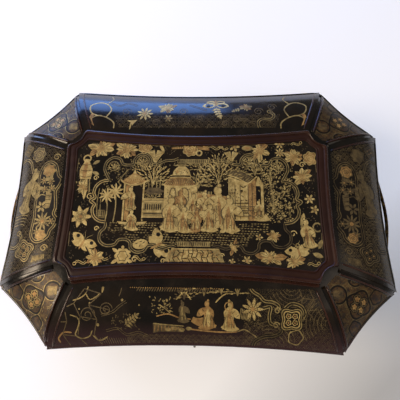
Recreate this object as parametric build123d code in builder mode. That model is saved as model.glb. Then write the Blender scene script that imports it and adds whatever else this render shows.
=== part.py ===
from build123d import *
import os
from math import atan2, cos, degrees, hypot, inf

os.makedirs("parts", exist_ok=True)

# A lacquer sewing box: a lobed eight-sided case on paw feet, with a drawer in its
# lower half, a lift-out tray in its upper half and a hinged, domed lid.
# Millimetres, Z up, floor at zero, front facing -Y, origin under the middle.

# Plan of the lid's rim, where the box is widest
rim_half_length = 184.0
rim_half_depth = 130.7
rim_long_end = 131.0
rim_short_end = 77.0
rim_bows = (5.5, 3.3, 3.8)

# Plan of the raised tablet on the lid, along the crest of its moulding
tablet_half_length = 122.3
tablet_half_depth = 70.0
tablet_long_end = 107.9
tablet_short_end = 55.9
tablet_bows = (6.5, 5.7, 2.0)
tablet_corner_radius = 3.0

# Heights
foot_height = 26.0
case_height = 86.0
lid_frame_height = 10.0
dome_rise = 20.0
dome_power = 2.6
moulding_rise = 8.4

# Thicknesses and overhangs of the woodwork
wall = 8.0
mitre_reach = 20.0
lid_overhang = 7.0
frame_taper = 3.0
shell = 5.0
shell_edge = 4.0
floor_thickness = 5.0
well_floor_thickness = 4.0
plinth_height = 10.0
plinth_band = 5.0
plinth_overhang = 6.0
plinth_lip = 1.5

# Tablet moulding, its rebate and the board inside it
moulding_foot = 5.0
moulding_band = 9.0
tablet_rebate = 4.0
tablet_flange = 2.5
tablet_board_drop = 1.4
tablet_seat = 6.0

# Flutes along the eight mitres of the lid
flute_radius = 4.0
flute_lift = 1.0

# Drawer, its opening and its runners
drawer_end_margin = 30.5
drawer_height = 27.0
drawer_back_gap = 16.0
drawer_front_margin = 4.0
drawer_gap = 0.4
drawer_side = 5.0
drawer_bottom_thickness = 3.0
drawer_bottom_lift = 3.0
runner_height = 7.0
runner_width = 7.0
guide_width = 5.0
guide_height = 8.0
guide_gap = 0.5
drawer_lap = 1.0
knob_radius = 4.2
knob_neck = 2.0
knob_reach = 9.5
knob_spread = 55.0

# Tray, its ledges and its fittings
tray_gap = 1.0
tray_wall = 4.0
tray_height = 22.0
tray_drop = 2.0
tray_floor_thickness = 3.0
ledge_width = 6.0
ledge_height = 6.0
ledge_half_length = 60.0
divider = 3.0
divider_drop = 3.0
divider_slot_gap = 0.1
long_divider_y = 40.0
cross_divider_x = 62.0
lid_plate = 2.5
lid_plug = 2.0
lid_plug_gap = 0.5
lid_plate_rest = 1.4
lid_knob_radius = 4.0
lid_knob_neck = 1.8
lid_knob_height = 9.0
reel_count = 3
reel_radius = 11.0
reel_core = 5.0
reel_height = 14.0
reel_flange = 2.0
spindle_radius = 2.0
spindle_rise = 2.0
running_gap = 0.05
cushion_gap = 0.4
cushion_height = 16.0
cushion_corner = 8.0

# Butt hinges
hinge_end_margin = 56.0
hinge_length = 34.0
hinge_leaf = 1.2
hinge_leaf_inset = 1.5
hinge_stand_off = 1.8
barrel_radius = 2.4
pin_radius = 1.2
middle_knuckle = 14.0
knuckle_gap = 0.2
barrel_gap = 0.4
barrel_room = 0.8
leaf_gap = 0.1
screw_head_radius = 2.2
screw_radius = 1.1
screw_length = 8.0
screw_slot = 0.5
hinge_screw_x = 10.0
hinge_screw_y = 3.0

# Box lock, its key and its plates
lock_half_width = 16.0
lock_height = 24.0
lock_depth = 5.0
lock_sheet = 0.8
bolt_half_width = 5.0
bolt_thickness = 2.4
bolt_height = 11.5
bolt_throw = 5.0
bolt_gap = 0.4
key_drop = 18.0
key_radius = 1.6
key_bit = 4.5
key_bit_half_thickness = 0.8
key_bow_radius = 5.0
key_bow_hole = 2.6
key_bow_thickness = 2.0
key_stem = 7.0
keyhole_gap = 0.3
escutcheon_thickness = 1.2
escutcheon_half_width = 8.0
escutcheon_half_height = 11.0
strike_half_width = 12.0
strike_depth = 5.0
strike_room = 1.0

# Bail handles on the two ends
bail_half_span = 33.0
bail_axis_reach = 8.0
bail_axis_drop = 6.5
bail_bar = 1.6
bail_reach = 12.5
bail_drop = 10.5
bail_peak = 20.0
bail_shoulder_reach = 6.0
bail_shoulder_span = 38.5
bail_shoulder_radius = 6.0
bail_corner = 42.0
bail_corner_radius = 2.0
bail_pin_end = 28.0
bail_ball_radius = 4.0
bail_stem_radius = 2.5
bail_shank_radius = 2.0
bail_rosette_radius = 6.0
bail_rosette_thickness = 1.5
nut_radius = 4.5
nut_thickness = 3.0

# Paw feet
foot_inset = 13.0
foot_pad = (19.0, 15.0)
foot_ankle = (11.0, 10.0)
foot_paw = (16.0, 15.0)
foot_sole = (15.0, 14.0)
toe_radius = 5.5
toe_reach = 12.5
toe_angles = (-54, -18, 18, 54)

# Levels worked out from the heights
plinth_top = foot_height + plinth_height
floor_top = foot_height + floor_thickness
runner_top = floor_top + runner_height
drawer_top = runner_top + drawer_gap + drawer_height
well_base = drawer_top + drawer_front_margin
well_top = well_base + well_floor_thickness
joint = foot_height + case_height
rim = joint + lid_frame_height
dome_top = rim + dome_rise
crest = dome_top + moulding_rise
tray_top = joint - tray_drop
tray_base = tray_top - tray_height
tray_floor_top = tray_base + tray_floor_thickness
divider_top = tray_top - divider_drop

SIDES = (
    "front",
    "corner_front_right",
    "right",
    "corner_back_right",
    "back",
    "corner_back_left",
    "left",
    "corner_front_left",
)


# Lobed outlines: eight corner points and the inward bow of each of the eight sides
def lobed_ring(long_end, half_depth, half_length, short_end, bows):
    long_bow, corner_bow, short_bow = bows
    corners = [
        Vector(-long_end, -half_depth),
        Vector(long_end, -half_depth),
        Vector(half_length, -short_end),
        Vector(half_length, short_end),
        Vector(long_end, half_depth),
        Vector(-long_end, half_depth),
        Vector(-half_length, short_end),
        Vector(-half_length, -short_end),
    ]
    return corners, [long_bow, corner_bow, short_bow, corner_bow] * 2


def inward(start, end):
    """Unit vector into the outline, square to the side from start to end."""
    along = (end - start).normalized()
    return Vector(-along.Y, along.X)


def inset(ring, depth):
    """The ring drawn in by depth on every side, or out where depth is negative."""
    corners, bows = ring
    moved = []
    for k, corner in enumerate(corners):
        before = inward(corners[k - 1], corner)
        after = inward(corner, corners[(k + 1) % 8])
        moved.append(corner + (before + after) * (depth / (1 + before.dot(after))))
    new_bows = []
    for k, bow in enumerate(bows):
        chord = (corners[(k + 1) % 8] - corners[k]).length
        new_chord = (moved[(k + 1) % 8] - moved[k]).length
        radius = chord**2 / (8 * bow) + bow / 2 if bow else inf
        new_bows.append(new_chord**2 / (8 * (radius + depth)))
    return moved, new_bows


def straightened(ring):
    """The ring with a straight line for each side, through the middle of its bow."""
    corners, bows = ring
    moved = []
    for k, corner in enumerate(corners):
        before = inward(corners[k - 1], corner)
        after = inward(corner, corners[(k + 1) % 8])
        turn = before.dot(after)
        push = (before - after * turn) * bows[k - 1] + (after - before * turn) * bows[k]
        moved.append(corner + push * (1 / (1 - turn**2)))
    return moved, [0.0] * 8


def blend(inner, outer, share):
    """The ring part of the way from the inner ring to the outer one."""
    corners = [a + (b - a) * share for a, b in zip(inner[0], outer[0])]
    bows = [a + (b - a) * share for a, b in zip(inner[1], outer[1])]
    return corners, bows


def lobed_face(ring, height, corner_radius=0.0):
    """Flat face bounded by eight arcs or straight sides, at the given height."""
    corners, bows = ring
    with BuildSketch(Plane.XY.offset(height)) as outline:
        with BuildLine():
            for k, bow in enumerate(bows):
                start, end = corners[k], corners[(k + 1) % 8]
                if bow:
                    middle = (start + end) * 0.5 + inward(start, end) * bow
                    ThreePointArc(start, middle, end)
                else:
                    Line(start, end)
        make_face()
        if corner_radius > 0:
            fillet(outline.vertices(), radius=corner_radius)
    return outline.sketch


def wedge_face(inner, outer, side, height):
    """Sector of the plan between the two mitre lines of one side."""
    near, far = blend(inner, outer, -0.35)[0], blend(inner, outer, 1.25)[0]
    ends = (side, (side + 1) % 8)
    with BuildSketch(Plane.XY.offset(height)) as sector:
        with BuildLine():
            Polyline(near[ends[0]], far[ends[0]], far[ends[1]], near[ends[1]], close=True)
        make_face()
    return sector.sketch


def face_at(ring, side, along):
    """Distance from the middle of the box to a long or short side, along its length."""
    corners, bows = ring
    half = abs(corners[side].X) if side in (0, 4) else abs(corners[side].Y)
    out = abs(corners[side].Y) if side in (0, 4) else abs(corners[side].X)
    return out - bows[side] * (1 - (along / half) ** 2)


rim_ring = lobed_ring(rim_long_end, rim_half_depth, rim_half_length, rim_short_end, rim_bows)
crest_ring = lobed_ring(
    tablet_long_end, tablet_half_depth, tablet_half_length, tablet_short_end, tablet_bows
)
foot_ring = inset(crest_ring, -moulding_foot)
case_ring = inset(rim_ring, lid_overhang)
well_ring = inset(case_ring, wall)
tray_ring = straightened(inset(well_ring, tray_gap))
tray_inner_ring = inset(tray_ring, tray_wall)

FRONT, RIGHT, BACK, LEFT = (SIDES.index(name) for name in ("front", "right", "back", "left"))
front_face_y = -face_at(case_ring, FRONT, 0)
front_inner_y = -face_at(well_ring, FRONT, 0)


# Screws, made once in their own frame: head up, flush at zero, shank downwards
def countersunk_screw():
    with BuildPart() as screw:
        with BuildSketch(Plane.XZ):
            with BuildLine():
                Polyline(
                    (0, 0),
                    (screw_head_radius, 0),
                    (screw_radius, -hinge_leaf),
                    (screw_radius, -screw_length + screw_radius),
                    (0, -screw_length),
                    close=True,
                )
            make_face()
        revolve(axis=Axis.Z)
    return screw.part


def slotted(screw):
    with BuildPart() as cut:
        add(screw)
        Box(2 * screw_head_radius, screw_slot, 2 * screw_slot, mode=Mode.SUBTRACT)
    return cut.part


hinge_x = rim_long_end - hinge_end_margin
hinge_axis_y = rim_half_depth - lid_overhang + hinge_stand_off
leaf_inner_y = face_at(well_ring, BACK, hinge_x) + hinge_leaf_inset
screw_spots = [
    Vector(side * hinge_x + offset, leaf_inner_y + hinge_screw_y)
    for side in (-1, 1)
    for offset in (-hinge_screw_x, hinge_screw_x)
]
plain_screw = countersunk_screw()
case_screws = [Pos(spot.X, spot.Y, joint) * plain_screw for spot in screw_spots]
lid_screws = [Pos(spot.X, spot.Y, joint) * Rot(180, 0, 0) * plain_screw for spot in screw_spots]

with BuildPart() as case_hinge_screws:
    for spot in screw_spots:
        add(Pos(spot.X, spot.Y, joint) * slotted(plain_screw))

with BuildPart() as lid_hinge_screws:
    for spot in screw_spots:
        add(Pos(spot.X, spot.Y, joint) * Rot(180, 0, 0) * slotted(plain_screw))

# Places of the lock, the key and the bails, used by the walls and by the hardware
lock_front_y = front_inner_y - lock_depth
lock_middle_y = front_inner_y - lock_depth / 2
key_z = joint - key_drop
bail_wall_x = face_at(case_ring, RIGHT, bail_half_span)
bail_inner_x = face_at(well_ring, RIGHT, bail_half_span)
bail_axis_x = rim_half_length - lid_overhang + bail_axis_reach
bail_axis_z = joint - bail_axis_drop
bail_spots = [(sx, sy) for sx in (-1, 1) for sy in (-1, 1)]
drawer_half_width = rim_long_end - drawer_end_margin
drawer_back_y = face_at(well_ring, BACK, 0) - drawer_back_gap
drawer_depth = drawer_back_y - front_face_y
drawer_opening = drawer_half_width + guide_gap + guide_width - drawer_lap
drawer_front_half = drawer_opening - drawer_gap


def keyhole(start_y, end_y, gap):
    """Round hole for the key's shank with a slot under it for the bit."""
    length = end_y - start_y
    with BuildPart() as hole:
        with BuildSketch(Plane(origin=(0, start_y, key_z), x_dir=(1, 0, 0), z_dir=(0, 1, 0))):
            Circle(key_radius + gap)
            with Locations((0, (key_bit + gap) / 2)):
                Rectangle(2 * (key_bit_half_thickness + gap), key_bit + gap)
        extrude(amount=length)
    return hole.part


# Case walls: eight boards mitred at the corners
with BuildPart() as wall_shell:
    extrude(lobed_face(case_ring, foot_height), amount=case_height)
    extrude(lobed_face(well_ring, foot_height), amount=case_height, mode=Mode.SUBTRACT)

walls = {}
for index, side_name in enumerate(SIDES):
    with BuildPart() as board:
        add(wall_shell.part)
        extrude(
            wedge_face(well_ring, inset(well_ring, -mitre_reach), index, foot_height),
            amount=case_height,
            mode=Mode.INTERSECT,
        )
        if index == FRONT:
            with Locations((0, front_face_y, (runner_top + drawer_top + drawer_gap) / 2)):
                Box(
                    2 * drawer_opening,
                    6 * wall,
                    drawer_top + drawer_gap - runner_top,
                    mode=Mode.SUBTRACT,
                )
            with Locations((0, front_inner_y, joint)):
                Box(
                    2 * lock_half_width,
                    2 * lock_depth,
                    2 * lock_height,
                    mode=Mode.SUBTRACT,
                )
            add(keyhole(front_face_y - wall, front_inner_y, keyhole_gap), mode=Mode.SUBTRACT)
        if index == BACK:
            for side in (-1, 1):
                with Locations((side * hinge_x, leaf_inner_y - leaf_gap, joint)):
                    Box(
                        hinge_length + 2 * leaf_gap,
                        4 * wall,
                        2 * hinge_leaf,
                        align=(Align.CENTER, Align.MIN, Align.CENTER),
                        mode=Mode.SUBTRACT,
                    )
            add(case_screws, mode=Mode.SUBTRACT)
        if index in (RIGHT, LEFT):
            side = 1 if index == RIGHT else -1
            for sy in (-1, 1):
                outward = Plane(
                    origin=(side * bail_inner_x, sy * bail_half_span, bail_axis_z),
                    z_dir=(side, 0, 0),
                )
                with BuildSketch(outward.offset(-wall)):
                    Circle(bail_shank_radius)
                extrude(amount=4 * wall, mode=Mode.SUBTRACT)
                with BuildSketch(outward.offset(-wall)):
                    Circle(nut_radius + leaf_gap)
                extrude(amount=wall + nut_thickness, mode=Mode.SUBTRACT)
    walls[side_name] = board

with BuildPart() as floor_board:
    extrude(lobed_face(well_ring, foot_height), amount=floor_thickness)

with BuildPart() as well_floor:
    extrude(lobed_face(well_ring, well_base), amount=well_floor_thickness)

# Plinth: a band round the foot of the case, sloping in to a lip
with BuildPart() as plinth:
    extrude(lobed_face(inset(case_ring, -plinth_overhang), foot_height), amount=plinth_band)
    loft(
        [
            lobed_face(inset(case_ring, -plinth_overhang), foot_height + plinth_band),
            lobed_face(inset(case_ring, -plinth_lip), plinth_top),
        ],
        ruled=True,
    )
    extrude(lobed_face(case_ring, foot_height), amount=plinth_height, mode=Mode.SUBTRACT)

# Runners: an L under and beside each side of the drawer
with BuildPart() as drawer_runners:
    runner_length = drawer_depth - 3 * wall
    for side in (-1, 1):
        seat_x = drawer_half_width + guide_gap
        with Locations((side * seat_x, front_inner_y + wall, floor_top)):
            Box(
                runner_width + guide_width,
                runner_length,
                runner_height,
                align=(Align.CENTER, Align.MIN, Align.MIN),
            )
        with Locations((side * (seat_x + guide_width / 2), front_inner_y + wall, floor_top)):
            Box(
                guide_width,
                runner_length,
                runner_height + guide_height,
                align=(Align.CENTER, Align.MIN, Align.MIN),
            )

with BuildPart() as tray_ledges:
    for side in (-1, 1):
        with Locations((side * face_at(well_ring, RIGHT, 0), 0, tray_base - ledge_height)):
            Box(
                2 * ledge_width,
                2 * ledge_half_length,
                ledge_height,
                align=(Align.CENTER, Align.CENTER, Align.MIN),
            )
    extrude(lobed_face(well_ring, well_top), amount=tray_base - well_top, mode=Mode.INTERSECT)

# Paw feet: a pad, an ankle, a paw and four toes pointing out of each corner
feet = {}
for index in (1, 3, 5, 7):
    corners, bows = case_ring
    start, end = corners[index], corners[(index + 1) % 8]
    into = inward(start, end)
    middle = (start + end) * 0.5 + into * (bows[index] + foot_inset)
    level = Plane(origin=(middle.X, middle.Y, 0), x_dir=(-into.X, -into.Y, 0), z_dir=(0, 0, 1))
    with BuildPart() as foot:
        for height, (reach, breadth) in (
            (foot_height, foot_pad),
            (foot_height * 0.55, foot_ankle),
            (foot_height * 0.25, foot_paw),
            (0.0, foot_sole),
        ):
            with BuildSketch(level.offset(height)):
                Ellipse(reach, breadth)
        loft()
        for angle in toe_angles:
            turned = Vector(toe_reach, 0, toe_radius).rotate(Axis.Z, angle)
            with Locations(level):
                with Locations(turned):
                    Sphere(toe_radius)
    feet[SIDES[index].replace("corner", "foot")] = foot

# Lid frame: the ring that the dome stands on, with room for hinges, strike and bolt
with BuildPart() as lid_frame:
    loft([lobed_face(inset(rim_ring, frame_taper), joint), lobed_face(rim_ring, rim)], ruled=True)
    extrude(lobed_face(well_ring, joint), amount=lid_frame_height, mode=Mode.SUBTRACT)
    for corner in rim_ring[0]:
        with BuildSketch(Plane(origin=(corner.X, corner.Y, joint))):
            Circle(flute_radius - flute_lift)
        extrude(amount=lid_frame_height, mode=Mode.SUBTRACT)
    for side in (-1, 1):
        with Locations((side * hinge_x, hinge_axis_y - barrel_radius - barrel_room, joint)):
            Box(
                hinge_length + barrel_room,
                4 * wall,
                2 * (barrel_radius + barrel_room),
                align=(Align.CENTER, Align.MIN, Align.CENTER),
                mode=Mode.SUBTRACT,
            )
        with Locations((side * hinge_x, leaf_inner_y - leaf_gap, joint)):
            Box(
                hinge_length + 2 * leaf_gap,
                hinge_axis_y - leaf_inner_y,
                2 * hinge_leaf,
                align=(Align.CENTER, Align.MIN, Align.CENTER),
                mode=Mode.SUBTRACT,
            )
    add(lid_screws, mode=Mode.SUBTRACT)
    with Locations((0, lock_middle_y, joint)):
        Box(2 * strike_half_width, strike_depth, 2 * hinge_leaf, mode=Mode.SUBTRACT)
        Box(
            2 * (bolt_half_width + bolt_gap),
            bolt_thickness + 2 * bolt_gap,
            2 * (bolt_throw + strike_room + hinge_leaf),
            mode=Mode.SUBTRACT,
        )


# Dome: a shell lofted through lobed rings whose height falls off towards the rim
def dome_height(share):
    return dome_rise * (1 - share**dome_power)


dome_shares = (0.0, 0.2, 0.4, 0.6, 0.75, 0.88, 1.0)
with BuildPart() as dome_shell:
    loft(
        [
            lobed_face(blend(foot_ring, rim_ring, share), rim + dome_height(share))
            for share in reversed(dome_shares)
        ]
    )
    loft(
        [
            lobed_face(
                inset(blend(foot_ring, rim_ring, share), shell_edge),
                rim + dome_height(share) - shell,
            )
            for share in reversed(dome_shares)
        ],
        mode=Mode.SUBTRACT,
    )
    extrude(
        lobed_face(inset(crest_ring, tablet_seat), rim),
        amount=dome_rise + shell,
        mode=Mode.SUBTRACT,
    )

# The back, right and one corner panel are cut from the dome, and mirrors make the rest
flutes = {}
for k in (RIGHT, RIGHT + 1, BACK, BACK + 1):
    inner_corner, outer_corner = foot_ring[0][k], rim_ring[0][k]
    track = []
    for share in (-0.02, 0.15, 0.3, 0.45, 0.6, 0.7, 0.8, 0.9, 1.0, 1.08):
        spot = inner_corner + (outer_corner - inner_corner) * share
        height = rim + dome_height(max(share, 0.0)) + flute_lift
        track.append(Vector(spot.X, spot.Y, height))
    with BuildPart() as flute:
        with BuildLine() as path:
            Spline(track)
        with BuildSketch(Plane(origin=path.line @ 0, z_dir=path.line % 0)):
            Circle(flute_radius)
        sweep()
    flutes[k] = flute.part

panels = {}
for index in (RIGHT, RIGHT + 1, BACK):
    with BuildPart() as panel:
        add(dome_shell.part)
        extrude(
            wedge_face(foot_ring, rim_ring, index, rim),
            amount=dome_rise + shell,
            mode=Mode.INTERSECT,
        )
        add(flutes[index], mode=Mode.SUBTRACT)
        add(flutes[index + 1], mode=Mode.SUBTRACT)
    panels[SIDES[index]] = panel

for side_name, source, about in (
    ("left", "right", Plane.YZ),
    ("front", "back", Plane.XZ),
    ("corner_back_left", "corner_back_right", Plane.YZ),
    ("corner_front_right", "corner_back_right", Plane.XZ),
    ("corner_front_left", "corner_back_left", Plane.XZ),
):
    with BuildPart() as panel:
        mirror(panels[source].part, about=about)
    panels[side_name] = panel

# Tablet: a raised moulding with a board held in its rebate
with BuildPart() as tablet_moulding:
    loft(
        [
            lobed_face(foot_ring, dome_top, tablet_corner_radius),
            lobed_face(crest_ring, crest, tablet_corner_radius),
        ],
        ruled=True,
    )
    extrude(
        lobed_face(inset(crest_ring, moulding_band), dome_top),
        amount=2 * moulding_rise,
        mode=Mode.SUBTRACT,
    )
    extrude(
        lobed_face(inset(crest_ring, tablet_rebate), dome_top),
        amount=tablet_flange,
        mode=Mode.SUBTRACT,
    )

with BuildPart() as tablet_board:
    extrude(lobed_face(inset(crest_ring, tablet_rebate), dome_top), amount=tablet_flange)
    extrude(
        lobed_face(inset(crest_ring, moulding_band), dome_top),
        amount=moulding_rise - tablet_board_drop,
    )

# Hinges: outer knuckles on the case leaf, middle knuckle on the lid leaf
end_knuckle = (hinge_length - middle_knuckle) / 2 - knuckle_gap
case_leaves, lid_leaves = {}, {}
for hand, side in (("left", -1), ("right", 1)):
    centre = side * hinge_x
    end_spots = [centre + s * (hinge_length - end_knuckle) / 2 for s in (-1, 1)]
    plate_depth = hinge_axis_y - leaf_inner_y
    short_depth = plate_depth - barrel_radius - barrel_gap

    with BuildPart() as leaf:
        with Locations((centre, leaf_inner_y, joint)):
            Box(hinge_length, short_depth, hinge_leaf, align=(Align.CENTER, Align.MIN, Align.MAX))
        for spot in end_spots:
            with Locations((spot, leaf_inner_y, joint)):
                Box(
                    end_knuckle,
                    plate_depth,
                    hinge_leaf,
                    align=(Align.CENTER, Align.MIN, Align.MAX),
                )
            with Locations((spot, hinge_axis_y, joint)):
                Cylinder(barrel_radius, end_knuckle, rotation=(0, 90, 0))
                Cylinder(
                    pin_radius + running_gap, end_knuckle, rotation=(0, 90, 0), mode=Mode.SUBTRACT
                )
        add(case_screws, mode=Mode.SUBTRACT)
    case_leaves[hand] = leaf

    with BuildPart() as leaf:
        with Locations((centre, leaf_inner_y, joint)):
            Box(hinge_length, short_depth, hinge_leaf, align=(Align.CENTER, Align.MIN, Align.MIN))
            Box(
                middle_knuckle,
                plate_depth,
                hinge_leaf,
                align=(Align.CENTER, Align.MIN, Align.MIN),
            )
        with Locations((centre, hinge_axis_y, joint)):
            Cylinder(barrel_radius, middle_knuckle, rotation=(0, 90, 0))
            Cylinder(
                pin_radius + running_gap, middle_knuckle, rotation=(0, 90, 0), mode=Mode.SUBTRACT
            )
        add(lid_screws, mode=Mode.SUBTRACT)
    lid_leaves[hand] = leaf

with BuildPart() as hinge_pins:
    with Locations((-hinge_x, hinge_axis_y, joint), (hinge_x, hinge_axis_y, joint)):
        Cylinder(pin_radius, hinge_length, rotation=(0, 90, 0))

# Lock: a sheet case let into the front wall, a bolt that rises, and a key
with BuildPart() as lock_case:
    with Locations((0, lock_middle_y, joint - lock_height / 2)):
        Box(2 * lock_half_width, lock_depth, lock_height)
        Box(
            2 * (lock_half_width - lock_sheet),
            lock_depth - 2 * lock_sheet,
            lock_height - 2 * lock_sheet,
            mode=Mode.SUBTRACT,
        )
    with Locations((0, lock_middle_y, joint)):
        Box(
            2 * (bolt_half_width + bolt_gap),
            bolt_thickness + 2 * bolt_gap,
            4 * lock_sheet,
            mode=Mode.SUBTRACT,
        )
    add(keyhole(lock_front_y - wall, lock_middle_y, running_gap), mode=Mode.SUBTRACT)

with BuildPart() as lock_bolt:
    with Locations((0, lock_middle_y, joint)):
        Box(
            2 * bolt_half_width,
            bolt_thickness,
            bolt_height,
            align=(Align.CENTER, Align.CENTER, Align.MAX),
        )

key_end_y = lock_middle_y + bolt_thickness / 2
key_bow_y = front_face_y - key_stem
with BuildPart() as key:
    with BuildSketch(Plane(origin=(0, key_bow_y, key_z), x_dir=(1, 0, 0), z_dir=(0, 1, 0))):
        Circle(key_radius)
    extrude(amount=key_end_y - key_bow_y)
    with Locations((0, lock_middle_y, key_z)):
        Box(
            2 * key_bit_half_thickness,
            bolt_thickness,
            key_bit,
            align=(Align.CENTER, Align.CENTER, Align.MAX),
        )
    with BuildSketch(Plane(origin=(0, key_bow_y, key_z), z_dir=(1, 0, 0))):
        Circle(key_bow_radius)
        Circle(key_bow_hole, mode=Mode.SUBTRACT)
    extrude(amount=key_bow_thickness / 2, both=True)

plate_y = -face_at(case_ring, FRONT, escutcheon_half_width)
with BuildPart() as escutcheon:
    with BuildSketch(Plane(origin=(0, plate_y, key_z), x_dir=(1, 0, 0), z_dir=(0, -1, 0))):
        Ellipse(escutcheon_half_width, escutcheon_half_height)
    extrude(amount=escutcheon_thickness)
    add(keyhole(front_face_y - wall, front_inner_y, keyhole_gap), mode=Mode.SUBTRACT)

with BuildPart() as strike_plate:
    with Locations((0, lock_middle_y, joint)):
        Box(
            2 * strike_half_width,
            strike_depth,
            hinge_leaf,
            align=(Align.CENTER, Align.CENTER, Align.MIN),
        )
        Box(
            2 * (bolt_half_width + bolt_gap),
            bolt_thickness + 2 * bolt_gap,
            4 * hinge_leaf,
            mode=Mode.SUBTRACT,
        )

# Bail posts: rosette, stem and pierced ball, with a shank through the wall to a nut
with BuildPart() as bail_posts:
    for side, sy in bail_spots:
        base = Plane(
            origin=(side * bail_wall_x, sy * bail_half_span, bail_axis_z), z_dir=(side, 0, 0)
        )
        with BuildSketch(base):
            Circle(bail_rosette_radius)
        extrude(amount=bail_rosette_thickness)
        with BuildSketch(base):
            Circle(bail_stem_radius)
        extrude(amount=bail_axis_x - bail_wall_x)
        with Locations((side * bail_axis_x, sy * bail_half_span, bail_axis_z)):
            Sphere(bail_ball_radius)
            Cylinder(
                bail_bar + running_gap,
                4 * bail_ball_radius,
                rotation=(90, 0, 0),
                mode=Mode.SUBTRACT,
            )
    extrude(lobed_face(case_ring, foot_height), amount=case_height, mode=Mode.SUBTRACT)
    for side, sy in bail_spots:
        inside = Plane(
            origin=(side * bail_inner_x, sy * bail_half_span, bail_axis_z), z_dir=(side, 0, 0)
        )
        with BuildSketch(inside):
            Circle(bail_shank_radius)
        extrude(amount=bail_axis_x - bail_inner_x - bail_ball_radius)

with BuildPart() as bail_nuts:
    for side, sy in bail_spots:
        with BuildSketch(
            Plane(
                origin=(side * bail_inner_x, sy * bail_half_span, bail_axis_z),
                z_dir=(side, 0, 0),
            )
        ):
            RegularPolygon(nut_radius, 6)
            Circle(bail_shank_radius, mode=Mode.SUBTRACT)
        extrude(amount=nut_thickness)

# Each bail is bent from one bar: two pins, two arms and a bowed grip between them
bails = {}
arm_angle = atan2(bail_peak - bail_shoulder_reach, bail_shoulder_span)
grip_radius = (bail_peak - hypot(bail_reach, bail_drop)) / (1 / cos(arm_angle) - 1)
for hand, side in (("left", -1), ("right", 1)):
    swing = Plane(
        origin=(side * bail_axis_x, 0, bail_axis_z),
        x_dir=(side * bail_reach, 0, -bail_drop),
        z_dir=(bail_drop, 0, side * bail_reach),
    )
    route = [
        (0, bail_pin_end),
        (0, bail_corner),
        (bail_shoulder_reach, bail_shoulder_span),
        (bail_peak, 0),
        (bail_shoulder_reach, -bail_shoulder_span),
        (0, -bail_corner),
        (0, -bail_pin_end),
    ]
    ends = [bail_corner_radius, bail_shoulder_radius]
    bends = [*ends, grip_radius, *reversed(ends)]
    with BuildPart() as bail:
        with BuildLine(swing):
            grip = FilletPolyline(*route, radius=bends)
        with BuildSketch(Plane(origin=grip @ 0, z_dir=grip % 0)):
            Circle(bail_bar)
        sweep()
    bails[hand] = bail

# Drawer: a front cut from the curve of the wall, and a plain box behind it
with BuildPart() as drawer_front:
    add(wall_shell.part)
    with Locations((0, front_face_y, runner_top + drawer_gap)):
        Box(
            2 * drawer_front_half,
            6 * wall,
            drawer_height - drawer_gap,
            align=(Align.CENTER, Align.CENTER, Align.MIN),
            mode=Mode.INTERSECT,
        )

drawer_base = runner_top + drawer_gap
box_height = drawer_height - 2 * drawer_gap


def inside_front(part):
    """Cut a drawer piece to the hollow back of the drawer front."""
    with BuildPart() as trimmed:
        add(part)
        extrude(lobed_face(well_ring, floor_top), amount=well_base, mode=Mode.INTERSECT)
    return trimmed


drawer_sides = {}
for hand, side in (("left", -1), ("right", 1)):
    with BuildPart() as blank:
        with Locations((side * (drawer_half_width - drawer_side / 2), front_face_y, drawer_base)):
            Box(
                drawer_side,
                drawer_depth,
                box_height,
                align=(Align.CENTER, Align.MIN, Align.MIN),
            )
    drawer_sides[hand] = inside_front(blank.part)

inner_half = drawer_half_width - drawer_side
with BuildPart() as drawer_back:
    with Locations((0, drawer_back_y, drawer_base)):
        Box(2 * inner_half, drawer_side, box_height, align=(Align.CENTER, Align.MAX, Align.MIN))

with BuildPart() as bottom_blank:
    with Locations((0, front_face_y, drawer_base + drawer_bottom_lift)):
        Box(
            2 * inner_half,
            drawer_depth - drawer_side,
            drawer_bottom_thickness,
            align=(Align.CENTER, Align.MIN, Align.MIN),
        )
drawer_bottom = inside_front(bottom_blank.part)

knob_wall_y = -face_at(case_ring, FRONT, knob_spread + knob_radius)
with BuildPart() as drawer_knobs:
    for side in (-1, 1):
        knob_plane = Plane(
            origin=(side * knob_spread, knob_wall_y, drawer_base + box_height / 2),
            x_dir=(1, 0, 0),
            z_dir=(0, -1, 0),
        )
        with BuildSketch(knob_plane):
            Circle(knob_neck)
        extrude(amount=knob_reach - knob_radius)
        with Locations(knob_plane.offset(knob_reach - knob_radius)):
            Sphere(knob_radius)

# Tray: a straight-sided frame, a floor, four halved dividers and one lidded compartment
lid_rest_ring = inset(tray_inner_ring, -lid_plate_rest)
with BuildPart() as lid_rebate:
    extrude(lobed_face(lid_rest_ring, divider_top), amount=divider_drop)
    with Locations((0, long_divider_y, divider_top)):
        Box(
            2 * cross_divider_x + divider,
            4 * long_divider_y,
            4 * divider_drop,
            align=(Align.CENTER, Align.MIN, Align.CENTER),
            mode=Mode.INTERSECT,
        )

with BuildPart() as tray_frame:
    extrude(lobed_face(tray_ring, tray_base), amount=tray_height)
    extrude(lobed_face(tray_inner_ring, tray_base), amount=tray_height, mode=Mode.SUBTRACT)
    add(lid_rebate.part, mode=Mode.SUBTRACT)

with BuildPart() as tray_floor:
    extrude(lobed_face(tray_inner_ring, tray_base), amount=tray_floor_thickness)

divider_height = divider_top - tray_floor_top
slot = divider + 2 * divider_slot_gap
long_ends = ((0, -long_divider_y), (0, long_divider_y))
cross_ends = ((-cross_divider_x, 0), (cross_divider_x, 0))
with BuildPart() as long_dividers:
    with Locations(*[(x, y, tray_floor_top) for x, y in long_ends]):
        Box(
            2 * rim_half_length,
            divider,
            divider_height,
            align=(Align.CENTER, Align.CENTER, Align.MIN),
        )
    with Locations(*[(x, y, divider_top) for x, y in cross_ends]):
        Box(slot, 2 * rim_half_depth, divider_height, mode=Mode.SUBTRACT)

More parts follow.
